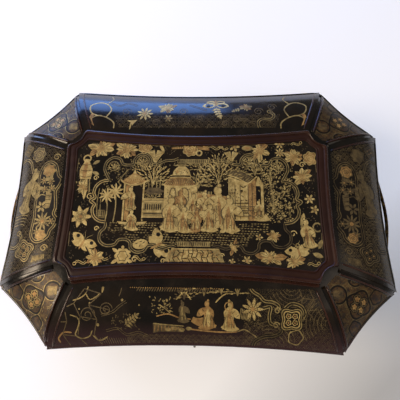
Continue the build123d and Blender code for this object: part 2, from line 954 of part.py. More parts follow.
with BuildPart() as cross_dividers:
    with Locations(*[(x, y, tray_floor_top) for x, y in cross_ends]):
        Box(
            divider,
            2 * rim_half_depth,
            divider_height,
            align=(Align.CENTER, Align.CENTER, Align.MIN),
        )
    with Locations(*[(x, y, tray_floor_top) for x, y in long_ends]):
        Box(2 * rim_half_length, slot, divider_height, mode=Mode.SUBTRACT)

with BuildPart() as tray_dividers:
    add(long_dividers.part)
    add(cross_dividers.part)
    extrude(
        lobed_face(tray_inner_ring, tray_floor_top), amount=divider_height, mode=Mode.INTERSECT
    )

# Lid of the back compartment: a plate on the dividers with a plug in the cell
plate_ring = inset(lid_rest_ring, lid_plug_gap)
plug_ring = inset(tray_inner_ring, lid_plug_gap)
plug_half = cross_divider_x - divider / 2 - lid_plug_gap
plug_front = long_divider_y + divider / 2 + lid_plug_gap
with BuildPart() as lid_upper:
    extrude(lobed_face(plate_ring, divider_top), amount=lid_plate)
    with Locations((0, long_divider_y, divider_top)):
        Box(
            2 * cross_divider_x,
            4 * long_divider_y,
            4 * lid_plate,
            align=(Align.CENTER, Align.MIN, Align.CENTER),
            mode=Mode.INTERSECT,
        )

with BuildPart() as lid_lower:
    extrude(lobed_face(plug_ring, divider_top - lid_plug), amount=lid_plug)
    with Locations((0, plug_front, divider_top)):
        Box(
            2 * plug_half,
            4 * long_divider_y,
            4 * lid_plug,
            align=(Align.CENTER, Align.MIN, Align.CENTER),
            mode=Mode.INTERSECT,
        )

with BuildPart() as compartment_lid:
    add(lid_upper.part)
    add(lid_lower.part)

compartment_middle = (long_divider_y + face_at(tray_inner_ring, BACK, 0)) / 2
lid_top = divider_top + lid_plate
with BuildPart() as compartment_knob:
    with Locations((0, compartment_middle, lid_top)):
        Cylinder(
            lid_knob_neck,
            lid_knob_height - lid_knob_radius,
            align=(Align.CENTER, Align.CENTER, Align.MIN),
        )
    with Locations((0, compartment_middle, lid_top + lid_knob_height - lid_knob_radius)):
        Sphere(lid_knob_radius)

# Reels turn on spindles that stand in the tray's left compartment
reel_cell = cross_divider_x + divider / 2
reel_pitch = (face_at(tray_inner_ring, RIGHT, 0) - reel_cell) / reel_count
reel_spots = [(-(reel_cell + (k + 0.5) * reel_pitch), 0) for k in range(reel_count)]
reels = []
for x, y in reel_spots:
    with BuildPart() as reel:
        with BuildSketch(Plane.XZ):
            with BuildLine():
                Polyline(
                    (spindle_radius + running_gap, 0),
                    (reel_radius, 0),
                    (reel_radius, reel_flange * 0.6),
                    (reel_core, reel_flange * 1.4),
                    (reel_core, reel_height - reel_flange * 1.4),
                    (reel_radius, reel_height - reel_flange * 0.6),
                    (reel_radius, reel_height),
                    (spindle_radius + running_gap, reel_height),
                    close=True,
                )
            make_face()
        revolve(axis=Axis.Z)
    with BuildPart() as placed:
        add(Pos(x, y, tray_floor_top) * reel.part)
    reels.append(placed)

with BuildPart() as reel_spindles:
    for x, y in reel_spots:
        with Locations((x, y, tray_floor_top)):
            Cylinder(
                spindle_radius,
                reel_height + spindle_rise,
                align=(Align.CENTER, Align.CENTER, Align.MIN),
            )

# Pin cushion: a padded block with a crown, filling the middle compartment
cushion_half_x = cross_divider_x - divider / 2 - cushion_gap
cushion_half_y = long_divider_y - divider / 2 - cushion_gap
with BuildPart() as pin_cushion:
    cushion_base = tray_floor_top + cushion_gap
    for height, draw_in in (
        (0.0, 1.5),
        (cushion_height * 0.3, 0.0),
        (cushion_height * 0.7, 2.5),
        (cushion_height, cushion_corner * 2),
    ):
        with BuildSketch(Plane.XY.offset(cushion_base + height)):
            RectangleRounded(
                2 * (cushion_half_x - draw_in), 2 * (cushion_half_y - draw_in), cushion_corner
            )
    loft()

# Write every piece as its own file
pieces = {
    "floor_board": floor_board,
    "well_floor": well_floor,
    "plinth": plinth,
    "drawer_runners": drawer_runners,
    "tray_ledges": tray_ledges,
    "lid_frame": lid_frame,
    "tablet_moulding": tablet_moulding,
    "tablet_board": tablet_board,
    "hinge_pins": hinge_pins,
    "case_hinge_screws": case_hinge_screws,
    "lid_hinge_screws": lid_hinge_screws,
    "lock_case": lock_case,
    "lock_bolt": lock_bolt,
    "key": key,
    "escutcheon": escutcheon,
    "strike_plate": strike_plate,
    "bail_posts": bail_posts,
    "bail_nuts": bail_nuts,
    "drawer_front": drawer_front,
    "drawer_back": drawer_back,
    "drawer_bottom": drawer_bottom,
    "drawer_knobs": drawer_knobs,
    "tray_frame": tray_frame,
    "tray_floor": tray_floor,
    "tray_dividers": tray_dividers,
    "compartment_lid": compartment_lid,
    "compartment_knob": compartment_knob,
    "reel_spindles": reel_spindles,
    "pin_cushion": pin_cushion,
}
pieces.update({f"wall_{name}": board for name, board in walls.items()})
pieces.update({f"lid_panel_{name}": panel for name, panel in panels.items()})
pieces.update(feet)
pieces.update({f"hinge_{hand}_case_leaf": leaf for hand, leaf in case_leaves.items()})
pieces.update({f"hinge_{hand}_lid_leaf": leaf for hand, leaf in lid_leaves.items()})
pieces.update({f"bail_{hand}": bail for hand, bail in bails.items()})
pieces.update({f"drawer_side_{hand}": board for hand, board in drawer_sides.items()})
pieces.update({f"reel_{k + 1}": reel for k, reel in enumerate(reels)})

for name, piece in pieces.items():
    piece.part.label = name
    export_step(piece.part, f"parts/{name}.step")

swing_start = degrees(atan2(bail_drop, bail_reach))
print("pieces", len(pieces))
print("joint height", joint, "rim", rim, "crest", crest)
print("hinge axis y", hinge_axis_y, "bail axis x", bail_axis_x, "z", bail_axis_z)
print("bail rests", swing_start, "degrees below level; key z", key_z)
print("reels", reel_spots, "compartment middle", compartment_middle)
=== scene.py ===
# %% [markdown]
# # A lacquer sewing box with gilt landscapes
# The woodwork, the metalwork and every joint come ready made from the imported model, the
# frame. What is left for this lesson is what a decorator and a photographer would add:
# black and maroon lacquer, the pictures painted in gold, the silk cushion, the light and
# the camera. Everything is in metres, and the painted designs are written in millimetres
# on the face that carries them, which is how a decorator would measure them out.
# %% Load the frame
import bpy
import bmesh
import copy
import numpy as np
from math import cos, hypot, pi, radians, sin
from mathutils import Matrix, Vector


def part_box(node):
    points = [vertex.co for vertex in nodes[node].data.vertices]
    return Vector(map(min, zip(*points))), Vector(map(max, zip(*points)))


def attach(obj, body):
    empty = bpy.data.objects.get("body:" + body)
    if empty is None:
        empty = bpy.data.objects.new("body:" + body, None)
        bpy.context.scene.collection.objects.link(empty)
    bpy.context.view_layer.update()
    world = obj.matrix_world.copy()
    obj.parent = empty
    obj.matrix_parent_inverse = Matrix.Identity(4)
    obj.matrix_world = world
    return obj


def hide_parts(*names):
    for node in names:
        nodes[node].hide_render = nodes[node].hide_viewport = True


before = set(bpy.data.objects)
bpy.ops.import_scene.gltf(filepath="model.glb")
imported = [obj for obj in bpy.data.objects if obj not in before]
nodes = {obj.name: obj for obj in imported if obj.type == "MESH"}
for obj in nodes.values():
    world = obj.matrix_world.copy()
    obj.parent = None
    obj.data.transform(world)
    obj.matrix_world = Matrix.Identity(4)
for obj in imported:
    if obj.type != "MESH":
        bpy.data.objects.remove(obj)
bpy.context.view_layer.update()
MM = 0.001
scene = bpy.context.scene


def linked(name, data):
    """An object of the scene, at the origin and unturned."""
    item = bpy.data.objects.new(name, data)
    scene.collection.objects.link(item)
    return item


# %% [markdown]
# A material is a small network of nodes. One helper adds a node with its settings, and
# gives each socket either a value or another node's output, so a finish reads as a list
# of what it is made of. Colours are written as the hex values that a screen shows, and
# one function turns them into the linear values that Blender mixes light with.
# %% Helpers for materials
def linear(code):
    """sRGB hex to linear RGBA: c/12.92 below 0.04045, else ((c+0.055)/1.055)^2.4."""
    c = np.array([int(code[k:k + 2], 16) for k in (1, 3, 5)]) / 255
    c = np.where(c <= 0.04045, c / 12.92, ((c + 0.055) / 1.055) ** 2.4)
    return (*c.tolist(), 1.0)


def put(tree, kind, sockets=(), **settings):
    """Adds one node; sockets maps an input's name or number to a value or an output."""
    made = tree.nodes.new(kind)
    for key, value in settings.items():
        setattr(made, key, value)
    for key, value in dict(sockets).items():
        if isinstance(value, bpy.types.NodeSocket):
            tree.links.new(value, made.inputs[key])
        else:
            made.inputs[key].default_value = value
    return made


def start(name):
    """An empty material and the coordinates of the object that wears it, in metres."""
    material = bpy.data.materials.new(name)
    material.use_nodes = True
    tree = material.node_tree
    tree.nodes.clear()
    place = put(tree, "ShaderNodeTexCoord").outputs["Object"]
    return material, tree, place


def finish_off(tree, sockets):
    """Joins a Principled BSDF with these sockets to the material's output."""
    shader = put(tree, "ShaderNodeBsdfPrincipled", sockets)
    put(tree, "ShaderNodeOutputMaterial", {"Surface": shader.outputs[0]})


def noise(tree, place, size, detail=3.0, rough=0.55, stretch=(1, 1, 1)):
    """Noise whose patches are about size metres across, stretched along some axes."""
    moved = put(tree, "ShaderNodeMapping", {0: place, 3: stretch}).outputs[0]
    return put(tree, "ShaderNodeTexNoise",
               {"Vector": moved, "Scale": 1 / size, "Detail": detail,
                "Roughness": rough}).outputs["Fac"]


def between(tree, value, low, high, out_low=0.0, out_high=1.0):
    """Stretches the part of a value between low and high to another range, clamped."""
    return put(tree, "ShaderNodeMapRange", {0: value, 1: low, 2: high, 3: out_low,
                                            4: out_high}).outputs[0]


def mixed(tree, share, first, second):
    """Colour that goes from first to second as share goes from 0 to 1."""
    return put(tree, "ShaderNodeMix", {0: share, 6: first, 7: second},
               data_type="RGBA").outputs[2]


def reckoned(tree, operation, first, second):
    """One step of arithmetic on two numbers or outputs."""
    return put(tree, "ShaderNodeMath", {0: first, 1: second}, operation=operation).outputs[0]


def bumped(tree, height, distance, below=None):
    """Normal tilted by a height field that is distance metres deep."""
    sockets = {"Height": height, "Distance": distance, "Strength": 1.0}
    if below is not None:
        sockets["Normal"] = below
    return put(tree, "ShaderNodeBump", sockets).outputs[0]


print("mid grey in linear light", round(linear("#808080")[0], 3))

# %% [markdown]
# **Lacquer** is many thin coats of tree sap, each one rubbed down. New, it is black as
# ink; after two centuries it has browned, and its skin has fine waves and dull spots. So
# the base is a near black that drifts to brown in patches 40 mm wide, under a clear gloss
# whose roughness varies, with one bump for the long waves of hand polishing and one for
# the fine orange peel. The maroon of the tablet's moulding is the same sap with cinnabar
# in it, and gets the same network with other colours.
# %% Lacquers
RUBBED_OFF = 0.16     # how much rougher the dull spots are than the gloss


def lacquer(name, dark, brown, haze, gloss=0.14, reddened=0.0, coat=0.25, ior=1.5):
    """reddened is how far the front rim, where hands lift the lid, turns to maroon."""
    material, tree, place = start(name)
    patches = noise(tree, place, 0.045, detail=5.0, rough=0.6)
    colour = mixed(tree, between(tree, patches, 0.40, 0.66), linear(dark), linear(brown))
    clouds = noise(tree, place, 0.016, detail=4.0, rough=0.65)
    colour = mixed(tree, between(tree, clouds, 0.52, 0.80, 0.0, 0.6), colour, linear(haze))
    depth = put(tree, "ShaderNodeSeparateXYZ", {0: place}).outputs["Y"]
    colour = mixed(tree, between(tree, depth, -0.104, -0.124, 0.0, reddened), colour,
                   linear("#3d2729"))
    rubbed = between(tree, clouds, 0.35, 0.75, gloss, gloss + RUBBED_OFF)
    # Waves 20 mm long and 0.08 mm deep, then orange peel drawn 1.5 mm wide to show
    wave = bumped(tree, noise(tree, place, 0.020, detail=1.0), 0.00008)
    normal = bumped(tree, noise(tree, place, 0.0015), 0.000003, below=wave)
    finish_off(tree, {"Base Color": colour, "Roughness": rubbed, "IOR": ior,
                      "Normal": normal, "Coat Weight": coat, "Coat Roughness": 0.10})
    return material


black_lacquer = lacquer("black_lacquer_browned", "#120e08", "#21180e", "#2c2114",
                        reddened=0.8)
maroon_lacquer = lacquer("maroon_lacquer_rubbed", "#2e1710", "#3a1f13", "#48301f", 0.17,
                         coat=0.20)
dull_lacquer = lacquer("maroon_lacquer_dull", "#2a1610", "#351c12", "#402718", 0.40,
                       coat=0.0, ior=1.32)
inside_lacquer = lacquer("black_lacquer_inside", "#120d0b", "#1f1612", "#2a1e16", 0.24)
print("nodes in a lacquer", len(inside_lacquer.node_tree.nodes))

# %% [markdown]
# ** Gold on lacquer** is powdered metal dusted on to wet sap. It is bright where it lies thick and brown where use has thinned it. The wear is a noise field that lets the ground colour through, and thin gold keeps less of its metal. Six finishes serve the whole box: thick bright gold, thin gold for lines, reddish gold for robes and roofs, the black that draws details on top of gold, faint gold that use has nearly taken, and the brown and red wash under the corners' rings. On the lid's right side and right corners the faint gold is partly wear and partly a painted shade, for the lesser light that falls there.
# %% Golds
def gold(name, bright, dull, ground, worn, metal):
    """worn is the noise below which the ground shows, and metal how metallic the gold."""
    material, tree, place = start(name)
    thick = noise(tree, place, 0.005, detail=5.0, rough=0.65)
    # Powder is finer than 0.1 mm; its grains are drawn 1.4 mm wide to show
    grains = noise(tree, place, 0.0014, detail=3.0, rough=0.7)
    tone = mixed(tree, between(tree, thick, 0.38, 0.64), linear(dull), linear(bright))
    tone = mixed(tree, between(tree, grains, 0.42, 0.66, 0.0, 0.75), tone, linear(dull))
    wear = reckoned(tree, "ADD", thick, grains)
    bare = between(tree, wear, worn, worn - 0.16)
    colour = mixed(tree, bare, tone, linear(ground))
    finish_off(tree, {"Base Color": colour,
                      "Metallic": between(tree, bare, 0.0, 1.0, metal, 0.0),
                      "Roughness": between(tree, grains, 0.3, 0.7, 0.36, 0.52),
                      "Normal": bumped(tree, grains, 0.00006)})
    return material


bright_gold = gold("gold_dust_thick", "#e8cf8a", "#b0955a", "#5c4c2d", 0.82, 0.40)
line_gold = gold("gold_dust_thin", "#c0a96c", "#816f45", "#2f2619", 0.88, 0.35)
red_gold = gold("gold_dust_reddish", "#cda564", "#906c3f", "#43301e", 0.84, 0.40)
faint_gold = gold("gold_dust_worn", "#7c6a45", "#51432b", "#241b11", 0.92, 0.30)
black_lines = lacquer("black_lacquer_in_lines", "#100c07", "#1a130b", "#231a0f", 0.40,
                      coat=0.0, ior=1.36)
wash_gold = gold("gold_wash_worn", "#665026", "#43240f", "#1b130b", 1.04, 0.25)
GOLDS = [bright_gold, line_gold, red_gold, black_lines, faint_gold, wash_gold]
BRIGHT, LINE, RED, BLACK, FAINT, WASH = range(6)
print("golds", [material.name for material in GOLDS])

# %% [markdown]
# The rest of the box is wood, brass, steel and silk. Wood grain is rings of noise drawn
# out along the board; old brass is yellow metal under brown patina that gathers in
# patches; steel is plain and rubbed; turned boxwood is pale with faint rings; and the
# paw feet are carved wood, gilded, with brown showing where gold has worn off.
# %% Wood, metals and silk
def wood(name, light, dark, rough, stretch):
    """stretch scales the noise along each axis, so that below 1 draws the grain out."""
    material, tree, place = start(name)
    grain = noise(tree, place, 0.004, detail=6.0, rough=0.65, stretch=stretch)
    pores = noise(tree, place, 0.0009, detail=2.0, stretch=stretch)
    colour = mixed(tree, between(tree, grain, 0.35, 0.65), linear(light), linear(dark))
    colour = mixed(tree, between(tree, pores, 0.6, 0.75, 0.0, 0.5), colour, linear(dark))
    finish_off(tree, {"Base Color": colour, "Roughness": rough,
                      "Normal": bumped(tree, pores, 0.00008)})
    return material


def metal(name, bright, patina, cover, rough):
    """cover is the noise above which patina lies; rough is the bright metal's."""
    material, tree, place = start(name)
    patch = noise(tree, place, 0.006, detail=6.0, rough=0.7)
    share = between(tree, patch, cover - 0.12, cover + 0.12)
    colour = mixed(tree, share, linear(bright), linear(patina))
    finish_off(tree, {"Base Color": colour, "Metallic": 1.0,
                      "Roughness": between(tree, share, 0, 1, rough, rough + 0.22),
                      "Normal": bumped(tree, noise(tree, place, 0.0008), 0.00003)})
    return material


cedar = wood("cedar_planed", "#8a5a38", "#5d3821", 0.55, (1, 0.12, 1))
ledge_wood = wood("cedar_runner", "#7c5132", "#50301d", 0.60, (1, 0.12, 1))
boxwood = wood("boxwood_turned", "#d9b675", "#b98d4e", 0.38, (1, 1, 0.2))
gilt_wood = gold("gilded_carving", "#b98f4c", "#7e5a2e", "#2c1c12", 0.96, 0.6)
old_brass = metal("brass_patinated", "#a8854a", "#4a3a28", 0.42, 0.30)
clean_brass = metal("brass_rubbed", "#c9a35c", "#7d6138", 0.58, 0.24)
steel = metal("steel_rubbed", "#b9b7b2", "#77726b", 0.60, 0.28)

# Silk satin: threads 0.25 mm apart are too fine to show, so ribs are drawn wider
RIB = 0.0008     # m
silk, tree, place = start("silk_satin_crimson")
rib = put(tree, "ShaderNodeTexWave", {"Vector": place, "Scale": 1 / RIB / (2 * pi) * 2,
                                      "Distortion": 1.5, "Detail": 1.0},
          bands_direction="X").outputs["Fac"]
shade = noise(tree, place, 0.018, detail=3.0)
tone = mixed(tree, between(tree, shade, 0.35, 0.7), linear("#7d2126"), linear("#98383a"))
tone = mixed(tree, between(tree, rib, 0.0, 1.0, 0.0, 0.35), tone, linear("#5c161b"))
finish_off(tree, {"Base Color": tone, "Roughness": 0.46, "Sheen Weight": 0.35,
                  "Sheen Roughness": 0.4, "Normal": bumped(tree, rib, 0.00015)})
print("nodes in the silk", len(tree.nodes))

# %% Give every node its finish
finish_of = {
    "hinge": clean_brass, "case_hinge_screws": clean_brass, "lid_hinge_screws": clean_brass,
    "hinge_pins": steel, "lock_case": steel, "lock_bolt": steel, "key": steel,
    "strike_plate": clean_brass, "escutcheon": clean_brass, "bail": old_brass,
    "drawer_knobs": old_brass, "foot": gilt_wood, "drawer_side": cedar, "drawer_back": cedar,
    "drawer_bottom": cedar, "drawer_runners": ledge_wood, "tray_ledges": ledge_wood,
    "tray": inside_lacquer, "compartment_lid": inside_lacquer, "compartment_knob": boxwood,
    "reel": boxwood, "pin_cushion": silk, "well_floor": inside_lacquer,
    "tablet_moulding": maroon_lacquer, "floor_board": ledge_wood,
}
for name, item in nodes.items():
    keys = [key for key in finish_of if name.startswith(key)]
    material = finish_of[max(keys, key=len)] if keys else black_lacquer
    for slot in item.material_slots:
        slot.material = material
print("finishes", len(set(m.name for m in bpy.data.materials)))

# %% [markdown]
# A decorator draws with a few kinds of stroke, and so does this script. `Gilding` holds
# flat shapes in millimetres on one face of the box. `at` gives the same sheet with a new
# origin and turn, so that one flower can be drawn anywhere. Each stroke is a grid of
# points worked out as whole arrays:
#
# - a **line** is a smooth curve through a few points, with its two edges half a width away;
# - a **leaf** is a line whose half width is the sine of the way along it;
# - a **disc** is rings of points round a centre, and its rim may wave in and out in lobes;
# - an **area** runs straight across from one curve to another;
# - **strokes** and **dots** are many small marks made at once.
# %% Curves and faces
CURVE_STEP = 1.4     # between the points of a smooth curve, mm
PAIR_STEP = 2.0      # between the points of a double line, mm
LEAF_STEP = 1.6      # between the points along a leaf, mm
AREA_STEP = 2.2      # between the points across an area, mm
RING_STEP = 2.5      # between the rings of a disc, mm
HALO = 0.8           # how far a black band shows past the double line on it, mm
DOT_SIDES = 7
rng = np.random.default_rng(17)


def smooth(points, step=CURVE_STEP):
    """Catmull-Rom curve: between b and c it is half of
    2b + (c-a)t + (2a-5b+4c-d)t^2 + (3b-a-3c+d)t^3, with a and d the points outside."""
    p = np.asarray(points, float)
    p = np.vstack([2 * p[0] - p[1], p, 2 * p[-1] - p[-2]])
    a, b, c, d = p[:-3], p[1:-2], p[2:-1], p[3:]
    count = max(2, int(np.ceil(np.linalg.norm(c - b, axis=1).max() / step)))
    t = (np.arange(count) / count)[None, :, None]
    a, b, c, d = (q[:, None, :] for q in (a, b, c, d))
    curve = 0.5 * (2 * b + (c - a) * t + (2 * a - 5 * b + 4 * c - d) * t**2
                   + (3 * b - a - 3 * c + d) * t**3)
    return np.vstack([curve.reshape(-1, 2), p[-2:-1]])


def resampled(curve, count):
    """The curve at count points, evenly spaced by length."""
    run = np.concatenate([[0], np.cumsum(np.linalg.norm(np.diff(curve, axis=0), axis=1))])
    at = np.linspace(0, run[-1], count)
    return np.stack([np.interp(at, run, curve[:, k]) for k in (0, 1)], axis=1)


def square_to(curve):
    """Unit vectors to the left of a curve, square to its direction at each point."""
    along = np.gradient(curve, axis=0)
    along /= np.maximum(np.linalg.norm(along, axis=1, keepdims=True), 1e-9)
    return np.stack([-along[:, 1], along[:, 0]], axis=1)


def circle(angle):
    """The points (cos a, sin a)."""
    return np.stack([np.cos(angle), np.sin(angle)], axis=-1)


def quads(index, ring=False):
    """Four-sided faces of a grid from the numbers of its points; ring joins the last
    column to the first."""
    if ring:
        index = np.hstack([index, index[:, :1]])
    return np.stack([index[:-1, :-1], index[1:, :-1], index[1:, 1:], index[:-1, 1:]],
                    axis=-1).reshape(-1, 4)


def drawn(value, count):
    """A pair is a range to draw count numbers from; anything else stays as it is."""
    return rng.uniform(*value, count) if np.size(value) == 2 else value


print("points on a curve 30 mm long", len(smooth([(0, 0), (15, 4), (30, 0)])))

# %% The sheet and its strokes
class Gilding:
    """Flat shapes in millimetres on one face of the box, before they are laid on it."""

    def __init__(self):
        self.parts, self.total = [], [0]
        self.origin, self.axes, self.lift = np.zeros(2), np.eye(2), 0

    def at(self, x, y, turn=0.0, flip=False, lift=0):
        """The same sheet with its origin moved, its axes turned by degrees, its x axis
        flipped, and its layers lifted above those below."""
        other = copy.copy(self)
        other.lift = self.lift + lift
        c, s = cos(radians(turn)), sin(radians(turn))
        axes = np.array([[c, s], [-s, c]])
        if flip:
            axes[0] = -axes[0]
        other.origin = self.origin + np.array([x, y]) @ self.axes
        other.axes = axes @ self.axes
        return other

    def add(self, spots, faces, finish, layer):
        """Keeps one stroke: its points, its faces, its finish and its layer."""
        self.parts.append((spots, faces + self.total[0], finish, layer + self.lift))
        self.total[0] += len(spots)

    def lay(self, grid, finish=LINE, layer=0, ring=False):
        """Adds a grid of points as four-sided faces, turned to look up."""
        rows, cols = grid.shape[:2]
        spots = grid.reshape(-1, 2) @ self.axes + self.origin
        faces = quads(np.arange(rows * cols).reshape(rows, cols), ring)
        q = spots[faces]
        u, v = q[:, 2] - q[:, 0], q[:, 3] - q[:, 1]
        if (u[:, 0] * v[:, 1] - u[:, 1] * v[:, 0]).sum() < 0:
            faces = faces[:, ::-1]
        self.add(spots, faces, finish, layer)

    def line(self, points, width=0.8, finish=LINE, layer=0, taper=0.0):
        """A smooth curve with edges half a width either side, square to its direction.
        Its ends narrow to 0.45 of the width, and taper narrows it along its way."""
        curve = smooth(points)
        t = np.linspace(0, 1, len(curve))[:, None]
        half = width / 2 * (1 - taper * t) * np.minimum(1, np.sin(pi * t) * 5 + 0.45)
        across = square_to(curve) * half
        self.lay(np.stack([curve - across, curve + across], axis=1), finish, layer)

    def double(self, points, gap=1.5, width=0.55, finish=LINE, layer=0):
        """Two parallel lines, the cloud scroll of this kind of work."""
        curve = smooth(points, PAIR_STEP)
        across = square_to(curve) * gap / 2
        self.line(curve - across, width, finish, layer)
        self.line(curve + across, width, finish, layer)

    def banded(self, points, gap=2.4, width=0.9, finish=LINE, layer=1):
        """A double line with a black band under it, which stands out from its ground."""
        self.line(points, gap + 2 * width + HALO, BLACK, layer)
        self.double(points, gap, width, finish, layer + 1)

    def leaf(self, x, y, length, width, turn, finish=BRIGHT, layer=0, bend=0.0):
        """Half width = width/2 times sin(pi t)^0.7 along a spine that bends as t^2."""
        t = np.linspace(0, 1, max(4, int(length / LEAF_STEP) + 2))[:, None]
        spine = np.hstack([t * length, bend * length * t**2])
        half = np.hstack([0 * t, width / 2 * np.maximum(np.sin(pi * t), 0.02) ** 0.7])
        self.at(x, y, turn).lay(np.stack([spine - half, spine + half], axis=1), finish, layer)

    def disc(self, x, y, radius, finish=BRIGHT, layer=0, lobes=0, depth=0.0, squash=1.0,
             turn=0.0, hole=0.0):
        """Rings of points: radius times 1 + depth cos(lobes angle), squashed along y, and
        open in the middle where hole is above zero."""
        around = int(min(48, max(7, radius * 5, lobes * 6)))
        angle = np.arange(around) * 2 * pi / around
        rim = radius * (1 + depth * np.cos(lobes * angle))
        steps = np.linspace(max(hole, 0.02), 1, 2 + int(radius * (1 - hole) / RING_STEP))
        r = steps[:, None] * rim[None, :]
        grid = np.stack([r * np.cos(angle), r * np.sin(angle) * squash], axis=-1)
        self.at(x, y, turn).lay(grid, finish, layer, ring=True)

    def loop(self, x, y, radius, width=0.6, finish=LINE, layer=0, lobes=0, depth=0.0,
             turn=0.0):
        """A ring as wide as width, with the disc's lobes."""
        self.disc(x, y, radius, finish, layer, lobes, depth, 1.0, turn, 1 - width / radius)

    def area(self, first, second, finish=BRIGHT, layer=0):
        """Straight lines from one curve to the other, each cut into equal steps."""
        a, b = smooth(first), smooth(second)
        count = max(len(a), len(b))
        a, b = resampled(a, count), resampled(b, count)
        steps = 2 + int(np.linalg.norm(b - a, axis=1).max() / AREA_STEP)
        t = np.linspace(0, 1, steps)[None, :, None]
        self.lay(a[:, None] * (1 - t) + b[:, None] * t, finish, layer)

    def hatch(self, first, second, count, width=0.5, finish=LINE, layer=0):
        """Short lines, count of them, from one curve to the other."""
        a, b = (resampled(smooth(c), count) for c in (first, second))
        for p, q in zip(a, b):
            self.line([p, (p + q) / 2, q], width, finish, layer)

    def marks(self, corners, finish, layer):
        """Adds a flat face for each row of corners, which run anticlockwise."""
        index = np.arange(corners.shape[0] * corners.shape[1]).reshape(corners.shape[:2])
        if np.linalg.det(self.axes) < 0:
            index = index[:, ::-1]
        self.add((corners @ self.axes + self.origin).reshape(-1, 2), index, finish, layer)

    def dots(self, spots, radius=0.5, finish=LINE, layer=0):
        """Small flat discs, each a ring of points round its own centre."""
        spots = np.asarray(spots, float).reshape(-1, 2)
        size = np.broadcast_to(np.asarray(radius, float), (len(spots),))[:, None, None]
        rim = circle(np.arange(DOT_SIDES) * 2 * pi / DOT_SIDES)[None] * size
        self.marks(spots[:, None] + rim, finish, layer)

    def strokes(self, spots, length, width, turns, finish=LINE, layer=0):
        """Short brush marks, each with four points: two ends and two sides."""
        spots = np.asarray(spots, float).reshape(-1, 2)
        way = circle(np.radians(np.broadcast_to(turns, (len(spots),))))
        half = way * (np.broadcast_to(length, (len(spots),))[:, None] / 2)
        side = np.stack([-way[:, 1], way[:, 0]], axis=1) * width / 2
        self.marks(np.stack([spots - half, spots - side, spots + half, spots + side], axis=1),
                   finish, layer)

    def sprinkle(self, low, high, count, radius, finish=LINE, layer=0):
        """Dots at random between two corners; a pair for the radius is a range."""
        self.dots(rng.uniform(low, high, (count, 2)), drawn(radius, count), finish, layer)

    def scatter(self, low, high, count, length, width, turns, finish=LINE, layer=0):
        """Strokes at random between two corners; pairs for length and turns are ranges."""
        self.strokes(rng.uniform(low, high, (count, 2)), drawn(length, count), width,
                     drawn(turns, count), finish, layer)


# %% [markdown]
# A finished sheet is laid on its face of the box like gold leaf: it starts flat, a little
# way off, and a Shrinkwrap modifier projects each point straight on to the surface, so
# gold on the dome follows the dome. What misses the face, or crosses its edges, is cut
# off. Last, each layer is lifted by 0.06 mm and Solidify gives the gold its thickness, so
# that layers lie on each other as they were painted. Strokes of one layer take 24 heights
# within it in turn, because faces at one height flicker black where they cross.
# %% Lay a sheet of gold on the box
LEAF = 0.05          # thickness of the gold, mm
STEP = 0.06          # height of each layer above the one below, mm
BED = 0.01           # height of the lowest layer above the lacquer, mm
HEIGHTS = 24         # how many heights the strokes of one layer take in turn
SAME_SPOT = 1e-6     # points nearer than this are one, m
laid = []


def coordinates(mesh):
    """A mesh's points as rows of an array."""
    found = np.empty(len(mesh.vertices) * 3)
    mesh.vertices.foreach_get("co", found)
    return found.reshape(-1, 3)


def gild(sheet, name, body, target, origin, along, up, edges=(), far=30.0):
    """Places a sheet's point (x, y) at origin + x along + y up, all in millimetres, then
    projects it on to the target node. edges are (point, point, margin): shapes stay that
    far to the left of the line from one point to the other."""
    spots = np.vstack([part[0] for part in sheet.parts])
    layers = np.concatenate([np.full(len(part[0]), part[3] + k % HEIGHTS / (HEIGHTS + 1))
                             for k, part in enumerate(sheet.parts)])
    inside = np.ones(len(spots), bool)
    for a, b, margin in edges:
        run = (np.array(b, float) - a) / hypot(b[0] - a[0], b[1] - a[1])
        away = (spots[:, 1] - a[1]) * run[0] - (spots[:, 0] - a[0]) * run[1]
        inside &= away >= margin
    origin, along, up = (np.array(v, float) for v in (origin, along, up))
    out = np.cross(along, up)
    flat = (origin + far * out + spots[:, :1] * along + spots[:, 1:] * up) * MM
    mesh = bpy.data.meshes.new(name)
    mesh.from_pydata(flat, [], [face.tolist() for part in sheet.parts for face in part[1]])
    kinds = np.concatenate([np.full(len(part[1]), part[2]) for part in sheet.parts])
    mesh.polygons.foreach_set("material_index", kinds.astype(np.int32))
    piece = linked(name, mesh)
    wrap = piece.modifiers.new("lay", "SHRINKWRAP")
    wrap.target = nodes[target]
    wrap.wrap_method = "PROJECT"
    wrap.use_negative_direction = True
    wrap.use_positive_direction = False
    wrap.use_project_x = wrap.use_project_y = wrap.use_project_z = False
    bpy.context.view_layer.update()
    found = coordinates(piece.evaluated_get(bpy.context.evaluated_depsgraph_get()).data)
    piece.modifiers.remove(wrap)
    # A point that hasn't moved has missed the face
    keep = inside & (np.linalg.norm(found - flat, axis=1) > 0.1 * far * MM)
    found += out * ((BED + STEP * layers)[:, None] * MM)
    mesh.vertices.foreach_set("co", found.ravel())
    shape = bmesh.new()
    shape.from_mesh(mesh)
    shape.verts.ensure_lookup_table()
    bmesh.ops.delete(shape, geom=[shape.verts[k] for k in np.flatnonzero(~keep)],
                     context="VERTS")
    bmesh.ops.remove_doubles(shape, verts=shape.verts, dist=SAME_SPOT)
    loose = [v for v in shape.verts if not v.link_faces]
    bmesh.ops.delete(shape, geom=loose, context="VERTS")
    shape.to_mesh(mesh)
    shape.free()
    for material in GOLDS:
        mesh.materials.append(material)
    thickness = piece.modifiers.new("thickness", "SOLIDIFY")
    thickness.thickness = LEAF * MM
    thickness.offset = 1.0
    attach(piece, body)
    laid.append((name, len(mesh.polygons)))


